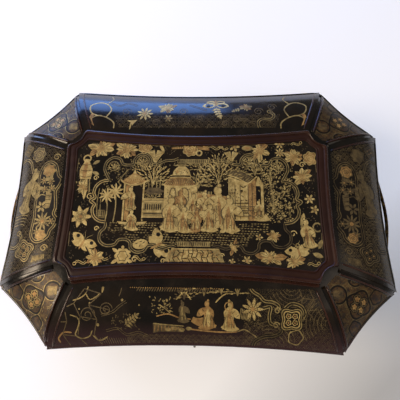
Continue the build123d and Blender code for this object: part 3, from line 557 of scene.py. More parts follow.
# %% [markdown]
# The pictures of this trade are built from a stock of small motifs, drawn from memory in
# every workshop: many-petalled flowers, sprigs, butterflies, cloud scrolls, palms, robed
# figures and garden pavilions. Each one here is a function of its own small sheet, with
# its middle or its foot at the origin, so the same motif serves in any size and turn.
# %% Flowers and leaves
def blossom(g, radius, petals=8, finish=BRIGHT):
    """Leaves radiating from a small centre, like a daisy or a star."""
    for k in range(petals):
        g.at(0, 0, 360 * k / petals).leaf(0.14 * radius, 0, 0.86 * radius,
                                          0.40 * radius * 6 / petals, 0, finish)
    g.loop(0, 0, 0.45 * radius, 0.4, FAINT, 1)
    g.disc(0, 0, 0.2 * radius, RED, 1)


def peony(g, radius, finish=BRIGHT, ground=RED):
    """Scalloped rings of petals, one inside another, over a reddish ground."""
    g.disc(0, 0, 0.86 * radius, ground, lobes=7, depth=0.08)
    for k, share in enumerate((1.0, 0.68, 0.36)):
        g.loop(0, 0, share * radius, 0.11 * radius, finish, 1, lobes=7 - 2 * k,
               depth=0.10, turn=25 * k)
    g.disc(0, 0, 0.14 * radius, finish, 1)


def sprig(g, length, pairs=4, width=2.2, finish=BRIGHT):
    """A bent stem with pairs of leaves, and one at its tip."""
    bend = 0.15
    stem = [(0, 0), (length * 0.5, bend * length * 0.4), (length, bend * length)]
    g.line(stem, 0.55, finish, taper=0.5)
    for k in range(pairs):
        t = (k + 0.6) / pairs
        x, y = t * length * 0.92, bend * length * t**2
        size = length * (0.34 - 0.12 * t)
        for side in (1, -1):
            g.leaf(x, y, size, width, side * 48, finish, 0, side * 0.2)
    g.leaf(length * 0.93, bend * length * 0.9, length * 0.25, width, 10, finish)


def butterfly(g, size):
    """Two pairs of wings with dark eyes, a body and two feelers."""
    for side in (1, -1):
        g.leaf(0, 0, size, 0.62 * size, side * 62, BRIGHT, 0, side * 0.18)
        g.leaf(0, 0, 0.72 * size, 0.5 * size, side * 122, BRIGHT, 0, side * -0.2)
        wing = radians(side * 62)
        g.disc(0.62 * size * cos(wing), 0.62 * size * sin(wing), 0.13 * size, BLACK, 1)
        g.line([(0.1 * size, 0), (0.5 * size, side * 0.1 * size),
                (0.8 * size, side * 0.32 * size)], 0.35)
    g.leaf(-0.5 * size, 0, 0.8 * size, 0.16 * size, 0, RED, 1)


def tailed(g, size):
    """A leaf shape split like a bat's wing or a fish's tail, point down."""
    for side in (-size, size):
        g.area([(0, -size), (0.45 * side, -0.15 * size), (side, 0.55 * size)],
               [(0, -size), (0.02 * side, 0.02 * size), (0.15 * side, 0.75 * size)])
    for side in (-size, size):
        g.hatch([(0.3 * side, -0.2 * size), (0.85 * side, 0.5 * size)],
                [(0, -0.1 * size), (0.25 * side, 0.6 * size)], 5, 0.3, BLACK, 1)


def ribbon(g, length):
    """A fluttering ribbon: a double line that waves and curls at its end."""
    t = np.linspace(0, 1, 7)
    curve = np.stack([t * length, 0.14 * length * np.sin(t * 2 * pi)], axis=1)
    g.double(curve, 0.09 * length + 0.5, 0.45, BRIGHT)
    g.loop(length * 1.05, 0.03 * length, 0.1 * length + 0.6, 0.5, BRIGHT)


def scroll(g, radius, turns=1.4, width=0.7, finish=LINE):
    """A spiral: the radius falls evenly with the angle."""
    angle = np.linspace(0, turns * 2 * pi, int(10 * turns) + 4)
    r = radius * (1 - 0.8 * angle / angle[-1])
    g.line(r[:, None] * circle(angle), width, finish)


def quatrefoil(g, radius, finish=LINE, inner=BRIGHT):
    """Four round lobes in a double outline, with a flower head in each."""
    g.loop(0, 0, radius, 0.09 * radius, finish, lobes=4, depth=0.16)
    g.loop(0, 0, 0.80 * radius, 0.10 * radius, inner, lobes=4, depth=0.18)
    for k in range(4):
        spot = 0.40 * radius * np.array([cos(k * pi / 2), sin(k * pi / 2)])
        g.loop(*spot, 0.24 * radius, 0.07 * radius, inner, 0, lobes=5, depth=0.12)
        g.disc(*spot, 0.09 * radius, RED, 0)


def posy(g, long, wide, seed, leaves=13, finish=BRIGHT):
    """Leaves and petals in a loose oval, reddish and bright by turns, with faint veins,
    round a peony."""
    shake = np.random.default_rng(seed)
    for k in range(leaves):
        turn = 360 * k / leaves + shake.uniform(-9, 9)
        c, s = cos(radians(turn)), sin(radians(turn))
        reach = shake.uniform(0.78, 1.08) / hypot(c / long, s / wide)
        one = g.at(0, 0, turn)
        one.leaf(0.22 * reach, 0, 0.78 * reach, shake.uniform(0.34, 0.5) * reach, 0,
                 finish if k % 4 else RED, k % 3, shake.uniform(-0.25, 0.25))
        one.line([(0.3 * reach, 0), (0.9 * reach, 0)], 0.5, FAINT, 3)
    peony(g.at(0, 0, lift=3), 0.46 * min(long, wide), finish)


sample = Gilding()
posy(sample, 10, 8, 1)
print("strokes in a posy", len(sample.parts))

# %% Grounds that fill a space
def within(spots, corners):
    """True for the spots inside a convex outline given anticlockwise."""
    c = np.array(corners, float)
    keep = np.ones(spots.shape[:-1], bool)
    for p, q in zip(c, np.roll(c, -1, axis=0)):
        keep &= (q[0] - p[0]) * (spots[..., 1] - p[1]) \
            - (q[1] - p[1]) * (spots[..., 0] - p[0]) > 0
    return keep


def ripples(g, corners, pitch=6.0, finish=FAINT, width=0.55):
    """Water pattern: three nested half circles on a staggered grid, in short strokes."""
    c = np.array(corners, float)
    low, high = c.min(axis=0) - pitch, c.max(axis=0) + pitch
    i, j = np.meshgrid(np.arange(int((high[0] - low[0]) / pitch) + 1),
                       np.arange(int((high[1] - low[1]) / pitch * 2) + 1), indexing="ij")
    middle = np.stack([low[0] + (i + 0.5 * (j % 2)) * pitch, low[1] + j * pitch / 2], -1)
    share, turn = np.meshgrid([0.95, 0.62, 0.30], np.radians(np.arange(20, 180, 35)))
    ring = np.stack([share * np.cos(turn), share * np.sin(turn)], axis=-1) * pitch / 2
    spots = middle[:, :, None, None] + ring
    keep = within(spots, corners)
    turns = np.broadcast_to(np.degrees(turn) + 90, keep.shape)[keep]
    long = np.broadcast_to(share * pitch / 2 * radians(33), keep.shape)[keep]
    g.strokes(spots[keep], long, width, turns, finish)


def lattice(g, corners, pitch=7.0, seed=3, width=0.5, finish=LINE):
    """Cracked ice: a honeycomb whose corners are shaken, kept inside the given corners."""
    shake = np.random.default_rng(seed)
    c = np.array(corners, float)
    low, high = c.min(axis=0), c.max(axis=0)
    across = int((high[0] - low[0]) / pitch) + 3
    rise = int((high[1] - low[1]) / (pitch * 0.9)) + 3
    i, j = np.meshgrid(np.arange(across), np.arange(rise), indexing="ij")
    x = low[0] + (i + 0.5 * (j % 2) - 1) * pitch
    y = low[1] + (j - 1) * pitch * 0.9
    spots = np.stack([x, y], axis=-1) + shake.uniform(-0.28, 0.28, (*x.shape, 2)) * pitch
    a = spots[:-1, :-1]
    # Half of the bars along a row are left out, which makes brick bonds and not squares
    for b, keep in ((spots[1:, :-1], (i + j)[:-1, :-1] % 2 == 0), (spots[:-1, 1:], True)):
        keep = keep & within((a + b) / 2, corners)
        for p, q in zip(a[keep], b[keep]):
            g.line([p, (p + q) / 2, q], width, finish)


sample = Gilding()
lattice(sample, [(0, 0), (60, 0), (60, 30), (0, 30)])
print("bars of cracked ice", len(sample.parts))

# %% Trees and people
def palm(g, height):
    """A tall trunk with a star of leaves at its top."""
    g.line([(0, 0), (0.04 * height, 0.5 * height), (0, height)], 1.1)
    for turn in range(0, 360, 36):
        g.leaf(0, height, 0.16 * height + 3.5, 1.7, turn + 8, BRIGHT, 1 + turn // 36 % 2, 0.2)


def fan_tree(g, radius, rows=6, low=-15, high=195, mark=2.4, finish=LINE):
    """Foliage as brush marks on half rings round a branch, pointing out from it."""
    shake = np.random.default_rng(int(radius * 10 + high))
    for k, share in enumerate(np.linspace(0.3, 1.0, rows)):
        count = max(4, int(share * radius * radians(high - low) / (1.15 * mark)))
        turns = np.linspace(low, high, count) + 5 * (k % 2) + shake.uniform(-4, 4, count)
        reach = share * radius * shake.uniform(0.94, 1.05, count)
        g.strokes(reach[:, None] * circle(np.radians(turns)), mark * 1.25, 1.15, turns,
                  BRIGHT if k % 3 == 1 else finish, k % 2)
    for turn in (55, 88, 122):
        g.line([(0, -0.25 * radius), (0.3 * radius * cos(radians(turn)), 0.3 * radius),
                (0.7 * radius * cos(radians(turn)), 0.75 * radius)], 0.7, finish)


def figure(g, height, robe=BRIGHT, trim=RED, wide=1.0, seed=0, behind=BLACK):
    """A robed figure as a brush sets it down, in one loose mass: a thin dark edge, a robe
    with a sweeping hem, sleeves that hang, one of them reaching, folds, a sprinkled
    pattern, and a plain oval head with a small knot of hair. The face is bare."""
    shake = np.random.default_rng(100 + seed)
    h = height / 10
    w, side = h * wide, (-1, 1)[seed % 2]
    lean = shake.uniform(-0.4, 0.4) * h
    reach = -90 + side * shake.uniform(20, 55)
    shoulder = lean + 0.5 * side * h
    for layer, grow, tone in ((0, 0.45, behind), (1, 0.0, robe)):
        g.area([(lean - 0.6 * h - grow, 7.5 * h), (-1.5 * w - grow, 6.0 * h),
                (-1.3 * w - grow, 3.6 * h), (-2.2 * w - grow, 0.4 * h)],
               [(lean + 0.6 * h + grow, 7.5 * h), (1.5 * w + grow, 6.0 * h),
                (1.4 * w + grow, 3.6 * h), (2.3 * w + grow, 0.4 * h)], tone, layer)
        g.leaf(-side * (2.5 * w + grow), 1.2 * h, 5.6 * w + 2 * grow, 2.2 * h + grow,
               90 - 98 * side, tone, layer)
        g.leaf(shoulder, 7.1 * h, 4.3 * h + grow, 2.2 * h + 2 * grow, reach, tone, layer)
        g.leaf(lean - 0.6 * side * h, 7.0 * h, 3.6 * h + grow, 1.9 * h + 2 * grow,
               -90 - side * shake.uniform(2, 22), tone, layer)
        g.disc(lean + 0.25 * side * h, 8.3 * h, 0.85 * h + grow, tone, layer, squash=1.2)
        g.disc(lean - 0.15 * side * h, 9.5 * h, 0.42 * h + grow, tone, layer)
    g.leaf(0.8 * lean, 6.9 * h, 6.2 * h, 1.3 * w, -90 - 4 * side, trim, 2)
    g.leaf(0.9 * side * w, 4.4 * h, 3.9 * h, 0.8 * w, -90 + 9 * side, trim, 2)
    for x, bend in ((-1.4, 0.3), (-0.6, 0.1), (0.7, -0.1), (1.5, -0.3)):
        g.line([(0.5 * x * w, 4.8 * h), (x * w, 2.7 * h), ((1.2 * x + bend) * w, 0.5 * h)],
               0.45, FAINT, 3)
    # Two bands across the sleeve that reaches
    c, s = cos(radians(reach)), sin(radians(reach))
    for reached in (0.35, 0.8):
        x, y = shoulder + 4 * h * reached * c, 7.1 * h + 4 * h * reached * s
        g.line([(x - 0.7 * h * s, y + 0.7 * h * c), (x + 0.7 * h * s, y - 0.7 * h * c)],
               0.45, FAINT, 3)
    g.dots(shake.uniform((-1.6 * w, 0.6 * h), (1.6 * w, 6.2 * h), (14, 2)), 0.04 * h + 0.28,
           FAINT, 3)
    g.line([(lean - 0.5 * h, 8.9 * h), (lean + 0.2 * side * h, 9.15 * h),
            (lean + 0.7 * h, 8.9 * h)], 0.5, FAINT, 2)


sample = Gilding()
figure(sample, 30)
print("strokes in a figure", len(sample.parts))

# %% [markdown]
# **Moulding, beads and lips.** On the real lid nothing is left sharp: each edge was
# rounded with a scratch stock before the lacquer went on, and it is those rounded edges
# that catch the light. The tablet's moulding has a small bead at its foot, a cove, a round
# crest, a flat maroon band and a bead against the board. Here its profile, in millimetres,
# is carried round the lid's eight-sided outline: each point of the profile is the outline
# drawn in by some depth, at some height. The same outline gives the rim its bead, and each
# mitre between two panels gets a shallow flute with a lip on each side.
# %% The lid's outlines
def outline(long_end, half_depth, half_length, short_end, bows):
    """Eight corners, anticlockwise from the front left, and each side's inward bow."""
    x, y, u, v = long_end, half_depth, half_length, short_end
    corners = np.array([(-x, -y), (x, -y), (u, -v), (u, v), (x, y), (-x, y), (-u, v),
                        (-u, -v)], float)
    return corners, np.array([bows[0], bows[1], bows[2], bows[1]] * 2, float)


def sides(corners):
    """Length of each side, the unit vector along it and the one square to it, inward."""
    run = np.roll(corners, -1, axis=0) - corners
    chord = np.linalg.norm(run, axis=1)
    along = run / chord[:, None]
    return chord, along, np.stack([-along[:, 1], along[:, 0]], axis=1)


def drawn_in(ring, depth):
    """Every side moved in by depth; its arc keeps its centre, so its radius grows."""
    corners, bows = ring
    chord, _, after = sides(corners)
    before = np.roll(after, 1, axis=0)
    push = depth / (1 + (before * after).sum(axis=1))
    moved = corners + (before + after) * push[:, None]
    radius = chord**2 / (8 * bows) + bows / 2
    return moved, sides(moved)[0] ** 2 / (8 * (radius + depth))


def arc(ring, k, count, margin=0.0):
    """Side k as count points of its arc: centre + R (inward cos a + along sin a)."""
    corners, bows = ring
    chord, along, inward = (part[k] for part in sides(corners))
    radius = chord**2 / (8 * bows[k]) + bows[k] / 2
    middle = (corners[k] + corners[(k + 1) % 8]) / 2 + inward * (bows[k] - radius)
    limit = np.arcsin(chord / 2 / radius) * (1 - 2 * margin / chord)
    a = np.linspace(-limit, limit, count)[:, None]
    return middle + radius * (inward * np.cos(a) + along * np.sin(a))


CREST = outline(107.9, 70.0, 122.3, 55.9, (6.5, 5.7, 2.0))
FOOT_RING = drawn_in(CREST, -5.0)
RIM_RING = outline(131.0, 130.7, 184.0, 77.0, (5.5, 3.3, 3.8))
CASE_RING = drawn_in(RIM_RING, 7.0)
FOOT, RIM = FOOT_RING[0], RIM_RING[0]
RIM_TOP, DOME_RISE, DOME_POWER = 122.0, 20.0, 2.6
print("foot corner", FOOT[2].round(2), "case corner", CASE_RING[0][2].round(2))


# %% Meshes from grids
def solid(name, spots, faces, body, material, slot="black_lacquer"):
    """A smooth-shaded piece from points in millimetres and its faces."""
    mesh = bpy.data.meshes.new(name)
    mesh.from_pydata(np.asarray(spots) * MM, [], faces)
    shape = bmesh.new()
    shape.from_mesh(mesh)
    bmesh.ops.recalc_face_normals(shape, faces=shape.faces)
    shape.to_mesh(mesh)
    shape.free()
    mesh.polygons.foreach_set("use_smooth", np.ones(len(mesh.polygons), bool))
    mesh.materials.append(material)
    piece = linked(name, mesh)
    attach(piece, body)
    return piece


def wrapped(rows, cols, both=True):
    """Four-sided faces of a grid whose rows are closed rings, and, with both, whose last
    row joins the first."""
    index = np.arange(rows * cols).reshape(rows, cols)
    if both:
        index = np.vstack([index, index[:1]])
    return quads(index, ring=True).tolist()


def joined(parts):
    """The points and faces of several shapes as those of one piece."""
    spots, faces, total = [], [], 0
    for more, theirs in parts:
        spots.append(more)
        faces += [[v + total for v in face] for face in theirs]
        total += len(more)
    return np.vstack(spots), faces


def tube(path, radius, around=10):
    """Rings round a path, smaller over the last two steps so that the ends are rounded.
    Returns points and faces, its ends closed."""
    way = np.gradient(path, axis=0)
    way /= np.linalg.norm(way, axis=1, keepdims=True)
    side = np.cross(way, (0.0, 0.0, 1.0))
    side /= np.linalg.norm(side, axis=1, keepdims=True)
    up = np.cross(side, way)
    r = np.full(len(path), float(radius))
    for steps, share in (([0, -1], 0.35), ([1, -2], 0.85)):
        r[steps] *= share
    a = np.arange(around) * 2 * pi / around
    spots = path[:, None] + r[:, None, None] * (side[:, None] * np.cos(a)[:, None]
                                                + up[:, None] * np.sin(a)[:, None])
    count = len(path)
    faces = wrapped(count, around, both=False)
    faces.append(list(range(around)))
    faces.append(list(range((count - 1) * around, count * around)))
    return spots.reshape(-1, 3), faces


def smoothed(loop, passes):
    """A closed loop after passes of a running mean with weights 1, 2, 1."""
    for _ in range(passes):
        loop = (np.roll(loop, 1, axis=0) + 2 * loop + np.roll(loop, -1, axis=0)) / 4
    return loop


def loop_at(ring, depth, height, counts):
    """The outline drawn in by depth, at a height, its corners rounded."""
    ring = drawn_in(ring, depth)
    loop = smoothed(np.vstack([arc(ring, k, counts[k])[:-1] for k in range(8)]), 3)
    return np.hstack([loop, np.full((len(loop), 1), height)])


def ringed(name, ring, profile, counts, material):
    """A piece on the lid: a closed profile of (depth, height) carried round an outline."""
    grid = np.stack([loop_at(ring, depth, height, counts) for depth, height in profile])
    piece = solid(name, grid.reshape(-1, 3), wrapped(*grid.shape[:2]), "lid", material)
    print(name, "points", grid.shape[:2])
    return piece


# %% The tablet's moulding
# (depth in from the crest, height), once round the section, from the foot over the top
SECTION = [(-4.8, 141.6), (-4.75, 142.9), (-4.1, 143.6), (-3.3, 143.4), (-2.9, 144.3),
           (-2.6, 146.0), (-2.2, 147.9), (-1.8, 149.3), (-0.9, 150.1), (0.2, 150.37),
           (1.2, 150.0), (1.9, 149.25), (2.6, 149.35), (4.4, 149.6), (6.2, 149.4),
           (6.9, 149.0), (7.6, 149.6), (8.3, 149.7), (8.9, 149.2), (9.0, 148.2),
           (8.8, 145.0), (4.0, 144.2), (-2.0, 142.4)]
SECTION_STEP, AROUND_STEP = 0.45, 1.8    # between points of the section and round it, mm
DULLED = 0.9         # wax and dust have dulled what lies deeper in from the crest, mm
section = smooth(SECTION + SECTION[:1], SECTION_STEP)[:-1]
counts = np.maximum(8, np.round(sides(CREST[0])[0] / AROUND_STEP)).astype(int)
moulding = ringed("moulding_shaped", CREST, section, counts, maroon_lacquer)
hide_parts("tablet_moulding")
moulding.data.materials.append(dull_lacquer)
around = len(moulding.data.polygons) // len(section)
inner = np.repeat((section[:, 0] > DULLED).astype(int), around)
moulding.data.polygons.foreach_set("material_index", inner)

# %% The rim's bead and the lips of the flutes
BEAD, LIP, LIP_AWAY = 1.9, 0.9, 4.7      # radii, and a lip's distance from its mitre, mm
BEAD_STEP, BEAD_SIDES = 4, 14            # points along it, mm apart, and round it
BEAD_IN, BEAD_UP = 0.05, 0.3             # its place in from the rim's edge and up, mm
HOLLOW, HOLLOW_THICK = 1.3, 0.5          # a flute's depth below its lips, and its skin, mm
BELOW_DOME = 0.30                        # how far the lips' middles lie below the dome, mm
EDGE_ROOM = 2.2                          # between a flute's end and the rim, mm


def dome_at(spots, k):
    """Height of panel k: it falls by rise times share^power, where share is how far the
    point lies from the foot's side k towards the rim's."""
    inward = sides(FOOT)[2][k]
    share = ((FOOT[k] - spots) @ inward) / ((FOOT[k] - RIM[k]) @ inward)
    return RIM_TOP + DOME_RISE * (1 - np.clip(share, 0, 1) ** DOME_POWER)


counts = np.maximum(14, sides(RIM)[0] // BEAD_STEP).astype(int)
profile = [(BEAD * (1 + cos(t)) + BEAD_IN, RIM_TOP + BEAD_UP + BEAD * sin(t))
           for t in np.arange(BEAD_SIDES) * 2 * pi / BEAD_SIDES]
ringed("rim_bead", RIM_RING, profile, counts, black_lacquer)


def slab(top, thick):
    """A sheet from a grid of points: each row runs out over the top and back beneath it.
    Returns points and faces, closed at both ends."""
    rows, cols = top.shape[:2]
    rings = np.concatenate([top, top[:, ::-1] - (0, 0, thick)], axis=1)
    faces = wrapped(rows, 2 * cols, both=False)
    for first in (0, (rows - 1) * 2 * cols):
        far = first + 2 * cols - 1
        faces += [[first + c, first + c + 1, far - 1 - c, far - c]
                  for c in range(cols - 1)]
    return rings.reshape(-1, 3), faces


# A flute's height at a distance a from its mitre: dome - BELOW_DOME - HOLLOW (1 - u^2),
# where u = a / LIP_AWAY. Each of its lines ends EDGE_ROOM short of the rim.
lips, hollows = [], []
for k in range(8):
    way = (RIM[k] - FOOT[k]) / np.linalg.norm(RIM[k] - FOOT[k])
    left = np.array([-way[1], way[0]])
    grid = []
    for away in np.linspace(-LIP_AWAY, LIP_AWAY, 11):
        panel = k if away > 0 else (k - 1) % 8
        inward = sides(FOOT)[2][panel]
        full = (FOOT[k] - RIM[k]) @ inward
        share = np.linspace(0.0, 1 - (EDGE_ROOM - away * left @ inward) / full, 24)[:, None]
        edge = FOOT[k] + (RIM[k] - FOOT[k]) * share + left * away
        height = dome_at(edge, panel) - BELOW_DOME - HOLLOW * (1 - (away / LIP_AWAY) ** 2)
        grid.append(np.hstack([edge, height[:, None]]))
    lips += [tube(grid[0], LIP), tube(grid[-1], LIP)]
    hollows.append(slab(np.stack(grid, axis=1), HOLLOW_THICK))
# The lips are maroon lacquer: partly worn edges, partly a painted highlight for the light
# caught along them
solid("flute_lips", *joined(lips), "lid", maroon_lacquer)
solid("flute_hollows", *joined(hollows), "lid", black_lacquer)
print("lips", len(lips), "hollows", len(hollows))

# %% [markdown]
# **The pin cushion** is crimson silk satin over a firm wool stuffing, in the tray's middle
# cell. Its solid in the frame is a plain block, so a copy of it is drawn in a little, laid
# out again in even squares, and blown up from inside by the cloth solver with gravity off.
# No point may move more than 6 mm, so it stays clear of the tray. A piping of the same
# silk hides the seam round its sides. All of it is in metres here.
# %% The pin cushion
SLACK = (0.95, 0.93, 0.5)            # size of the empty cover, as shares of the block
SQUARE = 0.0035                      # edge of the cover's squares
PRESSURE, FRAMES = 4.0, 20           # of the cloth solver
SWELL = 0.006                        # the most that a point may move
ROOM = 0.0003                        # kept between the pad and its block's sides
SEAM_HEIGHT, SEAM_BAND = 0.0055, 0.0022    # of the piping, and of the points it is from
SEAM_STEPS = 90
PIPING, SUNK = 0.001, 0.0004         # radius of the piping, and how deep it lies in


def evaluated_copy(item):
    """The mesh that the modifiers of an object give now, as a mesh of its own."""
    seen = item.evaluated_get(bpy.context.evaluated_depsgraph_get())
    return bpy.data.meshes.new_from_object(seen)


low, high = (np.array(corner, float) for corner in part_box("pin_cushion"))
middle, half = (low + high) / 2, (high - low) / 2
pad_mesh = nodes["pin_cushion"].data.copy()
shape = bmesh.new()
shape.from_mesh(pad_mesh)
bmesh.ops.remove_doubles(shape, verts=shape.verts, dist=SAME_SPOT)
shape.to_mesh(pad_mesh)
shape.free()
slack = (coordinates(pad_mesh) - middle) * SLACK
slack[:, 2] += 0.5 * half[2] + 0.0005
pad_mesh.vertices.foreach_set("co", (middle - (0, 0, half[2]) + slack).ravel())
pad = linked("cushion_pad", pad_mesh)
squares = pad.modifiers.new("squares", "REMESH")
squares.mode, squares.voxel_size = "VOXEL", SQUARE
remade = evaluated_copy(pad)
pad.modifiers.clear()
pad.data = remade
still = coordinates(remade)
cloth = pad.modifiers.new("cloth", "CLOTH")
cloth.settings.use_pressure = True
cloth.settings.uniform_pressure_force = PRESSURE
cloth.settings.effector_weights.gravity = 0.0
cloth.point_cache.frame_end = FRAMES
for frame_number in range(1, FRAMES + 1):
    scene.frame_set(frame_number)
moved = coordinates(evaluated_copy(pad))
pad.modifiers.clear()
scene.frame_set(1)
step = moved - still
size = np.linalg.norm(step, axis=1, keepdims=True)
moved = still + step * np.minimum(1, SWELL / np.maximum(size, 1e-9))
moved = np.clip(moved, low + ROOM, high - ROOM)
remade.vertices.foreach_set("co", moved.ravel())
remade.polygons.foreach_set("use_smooth", np.ones(len(remade.polygons), bool))
remade.materials.clear()
remade.materials.append(silk)
finer = pad.modifiers.new("finer", "SUBSURF")
finer.levels = finer.render_levels = 1
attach(pad, "tray")
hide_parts("pin_cushion")
print("cushion points", len(moved), "largest step mm",
      round(float(np.linalg.norm(moved - still, axis=1).max() * 1000), 2))

# Piping round the pad's widest line, which is found in even steps of angle
turn = np.arctan2((moved[:, 1] - middle[1]) / half[1], (moved[:, 0] - middle[0]) / half[0])
level = float(low[2]) + SEAM_HEIGHT
near = np.abs(moved[:, 2] - level) < SEAM_BAND
steps = np.linspace(-pi, pi, SEAM_STEPS + 1)[:-1]
out = np.linalg.norm(moved[:, :2] - middle[:2], axis=1)
gap = np.abs((turn[None, near] - steps[:, None] + pi) % (2 * pi) - pi)
widest = np.where(gap < 0.06, out[None, near], 0).argmax(axis=1)
seam = smoothed(np.hstack([moved[near][widest][:, :2], np.full((SEAM_STEPS, 1), level)]), 2)
way = np.roll(seam, -1, axis=0) - np.roll(seam, 1, axis=0)
way /= np.linalg.norm(way, axis=1, keepdims=True)
side = np.cross(way, (0.0, 0.0, 1.0))
a = np.arange(8) * 2 * pi / 8
rings = seam[:, None] - side[:, None] * SUNK + PIPING * (
    side[:, None] * np.cos(a)[:, None] + np.array((0, 0, 1.0)) * np.sin(a)[:, None])
rings = np.clip(rings, low + 0.0002, high - 0.0002)
solid("cushion_piping", rings.reshape(-1, 3) / MM, wrapped(SEAM_STEPS, 8), "tray", silk,
      "silk")

# %% [markdown]
# **The tablet** on top of the lid is the best picture on the box. A border of flowers,
# butterflies and ribbons runs round a cartouche drawn in double lines; inside it stand
# palms, a small pavilion, a garden house with a party at table, and a hall, among trees.
# The places are in millimetres from the middle of the lid, +x right and +y to the back.
# %% The tablet's cartouche and border
sheet = Gilding()
tablet = sheet.at(0, 0, lift=1)

# Gold dust on the ground, outside a rectangle that holds the cartouche
GROUND, CLEAR, GRAINS = (110, 57), (96, 45), 2600      # half sizes in mm, and a count
spots = rng.uniform(np.negative(GROUND), GROUND, (GRAINS, 2))
spots = spots[(np.abs(spots) > CLEAR).any(axis=1)]
sheet.strokes(spots, rng.uniform(0.9, 2.2, len(spots)), 0.75, rng.uniform(0, 180, len(spots)),
              FAINT)

bracket = [(80, 20), (87, 18.5), (92, 14), (93.5, 7.5), (92, 3), (96, 0), (92, -3.5),
           (93.5, -8), (92, -14), (87, -18.5), (80, -20)]
back_lobes = [(80, 20), (83, 25), (85.5, 31), (84, 38), (78, 42.5), (71.5, 41), (68.5, 36),
              (63, 35), (58.5, 36), (57.5, 41), (53, 45.5), (47, 45.5), (43, 41.5),
              (41.5, 36.5), (36, 36), (28, 39.5), (21, 40), (16, 42)]
front_lobes = [(80, -20), (80.5, -25), (84.5, -30), (84, -37), (78, -41), (70.5, -40),
               (67, -36), (61, -35.5), (57, -38), (56, -43), (51, -46.5), (44.5, -45.5),
               (41, -41), (36, -40.5), (28, -43), (21, -41), (16, -42)]
for flip in (False, True):
    g = tablet.at(0, 0, flip=flip)
    g.banded(bracket, 1.9, 0.75, BRIGHT if flip else LINE)
    g.banded(back_lobes, 1.8, 0.65)
    g.banded(front_lobes, 1.8, 0.65, LINE if flip else FAINT)
    for x, y in ((50, 39), (77, 34)):
        g.loop(x, y, 5, 0.7)
        fan_tree(g.at(x, y - 2), 5.5, 3, 0, 180, 1.8)
    g.line([(111.3, -42), (112, -15), (112, 15), (111.3, 42)], 0.8, FAINT)
    g.line([(100, 57.6), (60, 56.2), (20, 54.6), (0, 54.2)], 0.5, FAINT)
for y in (39, -39):
    tablet.area([(-15, y - 2.2), (14, y - 2.2)], [(-15, y + 2.2), (14, y + 2.2)], LINE, 1)
    tablet.hatch([(-14, y - 1.6), (13, y - 1.6)], [(-14, y + 1.6), (13, y + 1.6)], 15, 0.6,
                 BLACK, 2)
posy(tablet.at(70, -31), 8, 6, 31, 9)
tablet.disc(-47.5, -39.5, 6.8, BRIGHT, 2, squash=0.62, turn=12)
tablet.strokes([(-51, -39), (-48, -41), (-44.5, -38), (-47, -37)], 3.4, 0.9, [20, 60, 40, 10],
               BLACK, 3)

# Border: (x, y, half length, half width, turn, seed, leaves)
POSIES = [(-91, 52, 13, 8.5, 12, 1, 15), (-66, 50.5, 12, 9, -20, 2, 13),
          (60.5, 50, 11, 9.5, 80, 3, 9), (91.5, 43.5, 9.5, 8.5, 20, 4, 13),
          (98, 24, 11, 7.5, 40, 5, 12), (66, -50, 15, 5.5, 172, 6, 15),
          (87, -53, 9, 6, 20, 7, 11), (34.5, -42, 7.5, 5, 70, 8, 8),
          (-87, -52, 10, 7.5, 80, 9, 11), (-104, 13, 5.5, 8, 0, 10, 9)]
for x, y, long, wide, turn, seed, leaves in POSIES:
    posy(tablet.at(x, y, turn), long, wide, seed, leaves)
for x, y, radius, petals in ((-48.5, 53, 6.3, 0), (-5.5, 51, 6.8, 0), (107, 42.5, 6.6, 0),
                             (36.5, 54, 5.2, 5), (79, 57, 5.0, 6), (79, 48, 5.0, 8),
                             (103.5, 3, 5.0, 6), (107.5, -7, 4.4, 5), (46, -53, 4.6, 6),
                             (57, -32.5, 3.6, 5), (-103.5, -15, 10.5, 7), (33, -54, 3.2, 5)):
    if petals:
        blossom(tablet.at(x, y), radius, petals)
    else:
        peony(tablet.at(x, y), radius)
blossom(tablet.at(-103.5, -15, 26, lift=2), 6.5, 7, LINE)
for x, size in ((-38, 8.5), (33.5, 7.0)):
    tailed(tablet.at(x, 44), size)
tablet.leaf(-44, 56.5, 13, 3.4, -4)
tablet.leaf(-30, 48, 10, 3.0, 118)
tablet.area([(-23, 51.5), (-12, 52)], [(-23, 55.5), (-12, 55.5)], RED)
tablet.area([(1, 51.5), (13, 50)], [(1, 56), (12, 54)], RED)
tablet.hatch([(-22, 52), (-12, 52)], [(-22, 55), (-12, 55)], 6, 0.5, BLACK, 1)
tablet.loop(3, 47.5, 3.2, 1.4, BRIGHT, 1)
for radius, finish, layer in ((5.2, LINE, 0), (3.0, RED, 1)):
    tablet.disc(48.5, 52.7, radius, finish, layer, squash=0.5)
for x, y, turn, length in ((10, 52.5, 6, 13), (22, 53, -8, 7), (90, 56, 14, 9),
                           (-75, -52, 172, 12), (-53, -51, -10, 9), (-94, -55, 190, 10),
                           (78, -42, 12, 12), (98, -56, 8, 9), (-58, 57, 0, 10)):
    ribbon(tablet.at(x, y, turn), length)
for x, y, r, turns in ((-93, 22, 2.6, 1.2), (-88, -26, 2.4, 1.1), (87, -29, 3.2, 1.1),
                       (-97, 4, 3.4, 1.3), (99, 36, 3.0, 1.2), (-52, -53, 2.6, 1.2),
                       (-27, -54, 2.2, 1.2), (24, -49, 2.4, 1.2)):
    scroll(tablet.at(x, y), r, turns, 0.9, BRIGHT)

